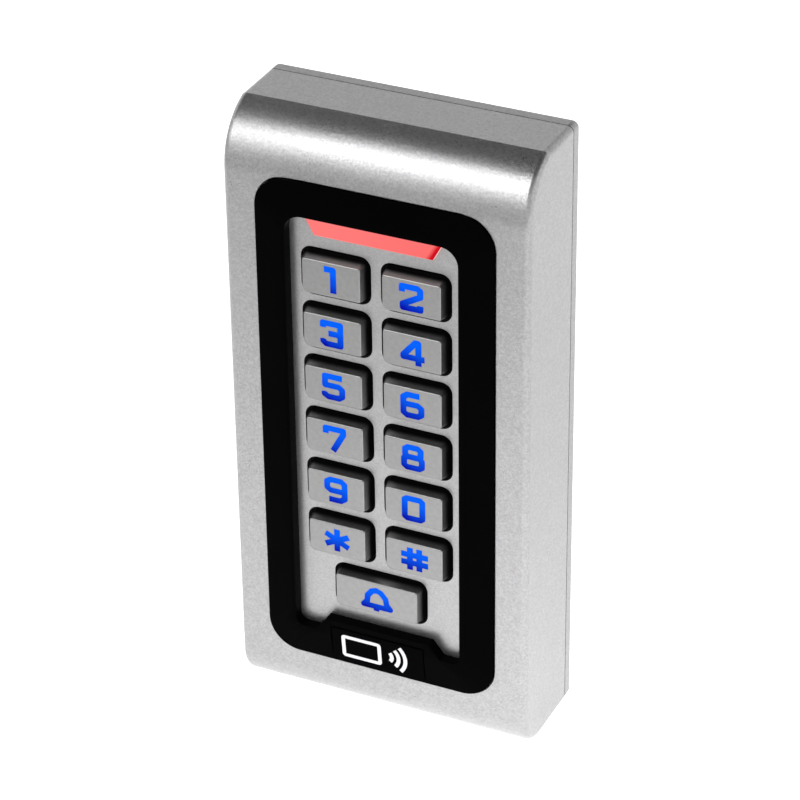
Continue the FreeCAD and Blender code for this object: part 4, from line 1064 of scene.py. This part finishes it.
@dataclass
class Surround:
    """Gloss bezel and the label on its lower flat."""

    rounding: float = 0.16
    rim_level: float = 25.2
    label_rounding: float = 0.08
    flat_foot: tuple = (-25.5, -57.65)
    flat_head: tuple = (-26.8, -46.5)
    label_foot_gap: float = 0.9
    label_height: float = 8.6
    label_thickness: float = 0.3
    print_thickness: float = 0.03
    card_size: tuple = (9.4, 6.0)
    card_corner: float = 0.8
    card_stroke: float = 0.85
    card_across: float = -3.9
    wave_across: float = 1.6
    wave_radii: tuple = (1.7, 3.3, 4.9)
    wave_stroke: float = 0.9
    wave_half_angle: float = 42.0
    wave_steps: int = 16

    def flat_frame(self) -> Matrix:
        """Finds the label's face.

        Returns:
            Its place, in millimetres: X across it, Y up it and Z off it.
        """
        foot, head = Vector((0.0, *self.flat_foot)), Vector((0.0, *self.flat_head))
        up = (head - foot).normalized()
        across = Vector((1.0, 0.0, 0.0))
        off = across.cross(up)
        middle = foot + up * (self.label_foot_gap + self.label_height / 2)
        middle += off * self.label_thickness
        return Matrix.Translation(middle) @ Matrix((across, up, off)).transposed().to_4x4()

    def add_card(self, mesh: bmesh.types.BMesh) -> None:
        """Adds the outline of a card.

        Args:
            mesh: The mesh that it goes into.
        """
        width, height = self.card_size
        made = bmesh.ops.create_grid(mesh, x_segments=1, y_segments=1, size=0.5)
        verts = made["verts"]
        bmesh.ops.scale(mesh, verts=verts, vec=(width, height, 1.0))
        bmesh.ops.translate(mesh, verts=verts, vec=(self.card_across, 0.0, 0.0))
        corners = bmesh.ops.bevel(
            mesh, geom=verts, offset=self.card_corner, offset_type="OFFSET", affect="VERTICES",
            segments=5, profile=0.5, material=-1,
        )
        faces = list({face for vert in corners["verts"] for face in vert.link_faces})
        bmesh.ops.inset_region(
            mesh, faces=faces, thickness=self.card_stroke, use_even_offset=True, use_boundary=True,
        )
        bmesh.ops.delete(mesh, geom=faces, context="FACES_ONLY")

    def add_wave(self, mesh: bmesh.types.BMesh, radius: float) -> None:
        """Adds one arc of the radio mark.

        Args:
            mesh: The mesh that it goes into.
            radius: The arc's radius.
        """
        half = math.radians(self.wave_half_angle)
        half_stroke = self.wave_stroke / 2
        ends = [mesh.verts.new((radius + side * half_stroke, 0.0, 0.0)) for side in (-1, 1)]
        line = mesh.edges.new(ends)
        bmesh.ops.rotate(mesh, verts=ends, cent=(0, 0, 0), matrix=Matrix.Rotation(-half, 3, "Z"))
        bmesh.ops.translate(mesh, verts=ends, vec=(self.wave_across, 0.0, 0.0))
        bmesh.ops.spin(
            mesh, geom=[*ends, line], cent=(self.wave_across, 0.0, 0.0), axis=(0.0, 0.0, 1.0),
            dvec=(0.0, 0.0, 0.0), angle=2 * half, steps=self.wave_steps, use_merge=False,
            use_duplicate=False,
        )

    def print_mark(self) -> None:
        """Prints a plain card with radio waves on the label."""
        mark = Solid()
        self.add_card(mark.mesh)
        for radius in self.wave_radii:
            self.add_wave(mark.mesh, radius)
        bmesh.ops.recalc_face_normals(mark.mesh, faces=mark.mesh.faces)
        for face in mark.mesh.faces:
            if face.normal.z < 0:
                face.normal_flip()
        grown = bmesh.ops.extrude_face_region(mark.mesh, geom=list(mark.mesh.faces))
        verts = [item for item in grown["geom"] if isinstance(item, bmesh.types.BMVert)]
        bmesh.ops.translate(mark.mesh, verts=verts, vec=(0.0, 0.0, self.print_thickness))
        bmesh.ops.recalc_face_normals(mark.mesh, faces=mark.mesh.faces)
        place = Matrix.Scale(MM, 4) @ self.flat_frame()
        bmesh.ops.transform(mark.mesh, matrix=place, verts=mark.mesh.verts)
        mark.done("label_mark", [LABEL_PRINT], BODY, "label_black")

    def build(self) -> None:
        """Makes the bezel, the label and its mark."""
        bezel = Solid.of_node("bezel")
        bezel.soften(self.rounding, 3, above(self.rim_level))
        bezel.done("gloss_surround", [GLOSS_BLACK], BODY, "bezel_gloss", ["bezel"])
        label = Solid.of_node("nameplate").soften(self.label_rounding, 2)
        label.done("blank_label", [LABEL_FILM], BODY, "label_black", ["nameplate"])
        self.print_mark()


@dataclass
class KeyPlate:
    """Silver plate with a window for each key, and the red light bar."""

    front_level: float = 24.22
    window_rounding: float = 0.18
    bar_rounding: float = 0.20
    bar_wall: float = 0.3
    front_tilt: float = 0.8
    foot_tilt: float = 0.35

    def bar_paint(self, face: bmesh.types.BMFace) -> int:
        """Chooses the paint of the bar's front, its sides or its foot, which carries a painted
        highlight.

        Args:
            face: The face.

        Returns:
            The paint's place in the list.
        """
        if face.normal.y < -self.front_tilt:
            return 0
        return 2 if face.normal.z < -self.foot_tilt else 1

    def build(self) -> None:
        """Makes the plate and the bar."""
        plate = Solid.of_node("keypad_plate")
        plate.soften(self.window_rounding, 3, above(self.front_level - LEVEL_SLACK))
        plate.done("key_plate", [SILVER_PLATE], BODY, "plate_paint", ["keypad_plate"])
        low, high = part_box("light_bar")
        bar = Solid.of_node("light_bar")
        bar.soften(self.bar_rounding, 3, above(self.front_level + self.bar_wall))
        bar.map_face(low, high)
        paints = [RED_FACE, RED_SIDE, RED_FOOT_HIGHLIGHT]
        bar.done("red_light_bar", paints, BODY, "light_red", ["light_bar"], self.bar_paint)


@dataclass
class Key:
    """One push key with its lit legend."""

    name: str
    flange_level: float = 21.92
    stem_level: float = 22.72
    plate_level: float = 24.22
    face_level: float = 26.72
    draft: float = 0.6
    foot_height: float = 9.0
    foot_width: float = 14.2
    bell_foot_width: float = 20.2
    corner: float = 1.05
    soft_corner: float = 1.9
    flange_height: float = 12.06
    window_lap: float = 1.3
    rounding: float = 0.26
    metal_rise: float = 0.1
    slack: float = 0.01
    least_section: float = 20.0
    most_wall_corners: int = 8
    level_tilt: float = 0.9

    def paint_of(self, face: bmesh.types.BMFace) -> int:
        """Which paint a face of the cap takes: metal in front of the plate, black behind it."""
        metal_level = self.plate_level + self.metal_rise
        return 0 if face.calc_center_median().y < -metal_level * MM else 1

    def facing_out(self) -> Matrix:
        """Finds the key's own place.

        Returns:
            The place, in millimetres: X across the key, Y up it and Z off the wall.
        """
        low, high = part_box(f"key_{self.name}")
        middle = (low + high) / 2 / MM
        turn = Matrix(((1, 0, 0), (0, 0, -1), (0, 1, 0))).to_4x4()
        return Matrix.Translation((middle.x, 0.0, middle.z)) @ turn

    def outline(self, mesh: bmesh.types.BMesh, width: float) -> bmesh.types.BMFace:
        """Draws the key's foot: sharp corners, but a soft one at the lower left.

        Args:
            mesh: The mesh that it goes into.
            width: The foot's width.

        Returns:
            The face, at the level where the stem starts.
        """
        verts = bmesh.ops.create_grid(mesh, x_segments=1, y_segments=1, size=0.5)["verts"]
        bmesh.ops.scale(mesh, verts=verts, vec=(width, self.foot_height, 1.0))
        bmesh.ops.translate(mesh, verts=verts, vec=(0.0, 0.0, self.stem_level))
        soft = [vert for vert in verts if vert.co.x < 0 and vert.co.y < 0]
        sharp = [vert for vert in verts if vert not in soft]
        for corners, radius in ((sharp, self.corner), (soft, self.soft_corner)):
            bmesh.ops.bevel(
                mesh, geom=corners, offset=radius, offset_type="OFFSET", affect="VERTICES",
                segments=6, profile=0.5, material=-1,
            )
        mesh.faces.ensure_lookup_table()
        return mesh.faces[0]

    def raise_face(
        self, mesh: bmesh.types.BMesh, face: bmesh.types.BMFace, rise: float, scale: tuple,
    ) -> bmesh.types.BMFace:
        """Draws a face out along the key's axis.

        Args:
            mesh: The mesh.
            face: The face.
            rise: How far it moves off the wall.
            scale: How much its width and height grow.

        Returns:
            The moved face.
        """
        grown = bmesh.ops.extrude_face_region(mesh, geom=[face])["geom"]
        verts = [item for item in grown if isinstance(item, bmesh.types.BMVert)]
        bmesh.ops.translate(mesh, verts=verts, vec=(0.0, 0.0, rise))
        bmesh.ops.scale(mesh, verts=verts, vec=(*scale, 1.0))
        return next(item for item in grown if isinstance(item, bmesh.types.BMFace))

    def cap(self) -> Solid:
        """Shapes the key: a flange, a stem and a drafted cap with a rounded rim.

        Returns:
            The key's mesh.
        """
        made = Solid()
        mesh = made.mesh
        width = self.bell_foot_width if self.name == "bell" else self.foot_width
        foot = self.outline(mesh, width)
        top = self.raise_face(mesh, foot, self.plate_level - self.stem_level, (1.0, 1.0))
        bmesh.ops.inset_region(
            mesh, faces=[top], thickness=self.draft, depth=self.face_level - self.plate_level,
            use_even_offset=True,
        )
        bmesh.ops.recalc_face_normals(mesh, faces=mesh.faces)
        under = min(mesh.faces, key=lambda face: face.calc_center_median().z)
        spread = (1 + 2 * self.window_lap / width, self.flange_height / self.foot_height)
        under = self.raise_face(mesh, under, 0.0, spread)
        self.raise_face(mesh, under, self.flange_level - self.stem_level, (1.0, 1.0))
        stale = [face for face in mesh.faces if self.is_inside(face)]
        bmesh.ops.delete(mesh, geom=stale, context="FACES_ONLY")
        top = self.face_level - self.slack
        rim = [edge for edge in mesh.edges if all(vert.co.z > top for vert in edge.verts)]
        bmesh.ops.bevel(
            mesh, geom=rim, offset=self.rounding, offset_type="OFFSET", affect="EDGES",
            segments=3, profile=0.5, material=-1,
        )
        bmesh.ops.recalc_face_normals(mesh, faces=mesh.faces)
        bmesh.ops.transform(mesh, matrix=Matrix.Scale(MM, 4) @ self.facing_out(), verts=mesh.verts)
        return made

    def is_inside(self, face: bmesh.types.BMFace) -> bool:
        """Tests for a level face that is left across the stem, between its two ends.

        Args:
            face: The face.

        Returns:
            True if it is such a face.
        """
        height = face.calc_center_median().z
        between = self.flange_level + self.slack < height < self.face_level - self.slack
        wide = face.calc_area() > self.least_section and len(face.verts) > self.most_wall_corners
        return between and wide and abs(face.normal.z) > self.level_tilt

    def build(self) -> None:
        """Makes the cap and the legend."""
        body = f"key_{self.name}"
        paints = [KEY_METAL, KEY_BASE]
        self.cap().done(f"cap_{self.name}", paints, body, "key_satin", [body], self.paint_of)
        low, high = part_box(f"legend_{self.name}")
        mark = Solid.of_node(f"legend_{self.name}").map_face(low, high)
        mark.done(f"mark_{self.name}", [BLUE_LIGHT], body, "legend_blue", [f"legend_{self.name}"])


@dataclass
class DomeMat:
    """Silicone mat: a web behind the plate and a springy dome under each key."""

    web_back: float = 19.82
    web_front: float = 20.62
    dome_front: float = 21.92
    dome_radius: float = 4.2
    top_radius: float = 3.2
    rounding: float = 0.35
    kept_share: float = 0.23

    def add_web(self) -> None:
        """Makes the flat web."""
        low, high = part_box("dome_mat")
        web = Solid.block(
            (low.x / MM, -self.web_front, low.z / MM), (high.x / MM, -self.web_back, high.z / MM),
        )
        web.soften(self.rounding, 3)
        web.done("mat_web", [SILICONE], BODY, "mat_silicone", ["dome_mat"])

    def add_dome(self, name: str) -> None:
        """Makes the dome under a key.

        Args:
            name: The key's name.
        """
        low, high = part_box(f"key_{name}")
        middle = (low + high) / 2
        height = self.dome_front - self.web_front
        turn = Matrix.Rotation(math.pi / 2, 4, "X")
        foot = Vector((middle.x, -self.web_front * MM, middle.z))
        dome = Solid()
        bmesh.ops.create_cone(
            dome.mesh, cap_ends=True, segments=40, radius1=self.dome_radius * MM,
            radius2=self.top_radius * MM, depth=height * MM,
            matrix=Matrix.Translation(foot - Vector((0.0, height / 2 * MM, 0.0))) @ turn,
        )
        dome.soften(self.rounding, 3, above(self.dome_front - LEVEL_SLACK))
        piece = dome.done(f"dome_{name}", [SILICONE], BODY, "mat_silicone", ["dome_mat"])
        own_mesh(piece)

    def build(self) -> None:
        """Makes the web and its domes."""
        self.add_web()
        for name in KEYS:
            self.add_dome(name)


@dataclass
class Electronics:
    """Boards and everything on them, hidden behind the plate."""

    plain: dict = field(default_factory=lambda: {
        "keypad_carrier": CARRIER, "keypad_board": BOARD,
        "controller_board": BOARD, "contact_pads": BRASS, "key_lamps": BLUE_LAMP,
        "status_lamps": RED_LAMP, "board_standoffs": BRASS, "controller_chip": CHIP_BLACK,
        "reader_chip": CHIP_BLACK, "board_header": CHIP_BLACK, "buzzer": CHIP_BLACK,
        "relay": RELAY_BLUE, "wire_connector": TERMINAL_GREEN, "tamper_sensor": LENS,
        "bezel_screws": STEEL, "board_screws": STEEL, "controller_screws": STEEL,
        "antenna_coil": COPPER,
    })

    def build(self) -> None:
        """Dresses the hidden parts."""
        for node, paint in self.plain.items():
            dress(node, paint)


def main() -> None:
    """Builds the studio and the reader, piece by piece."""
    logging.basicConfig(level=logging.INFO, format="%(name)s %(message)s")
    Studio().build()
    Casing().build()
    Surround().build()
    KeyPlate().build()
    for name in KEYS:
        Key(name).build()
    DomeMat().build()
    Electronics().build()


if __name__ == "__main__":
    main()
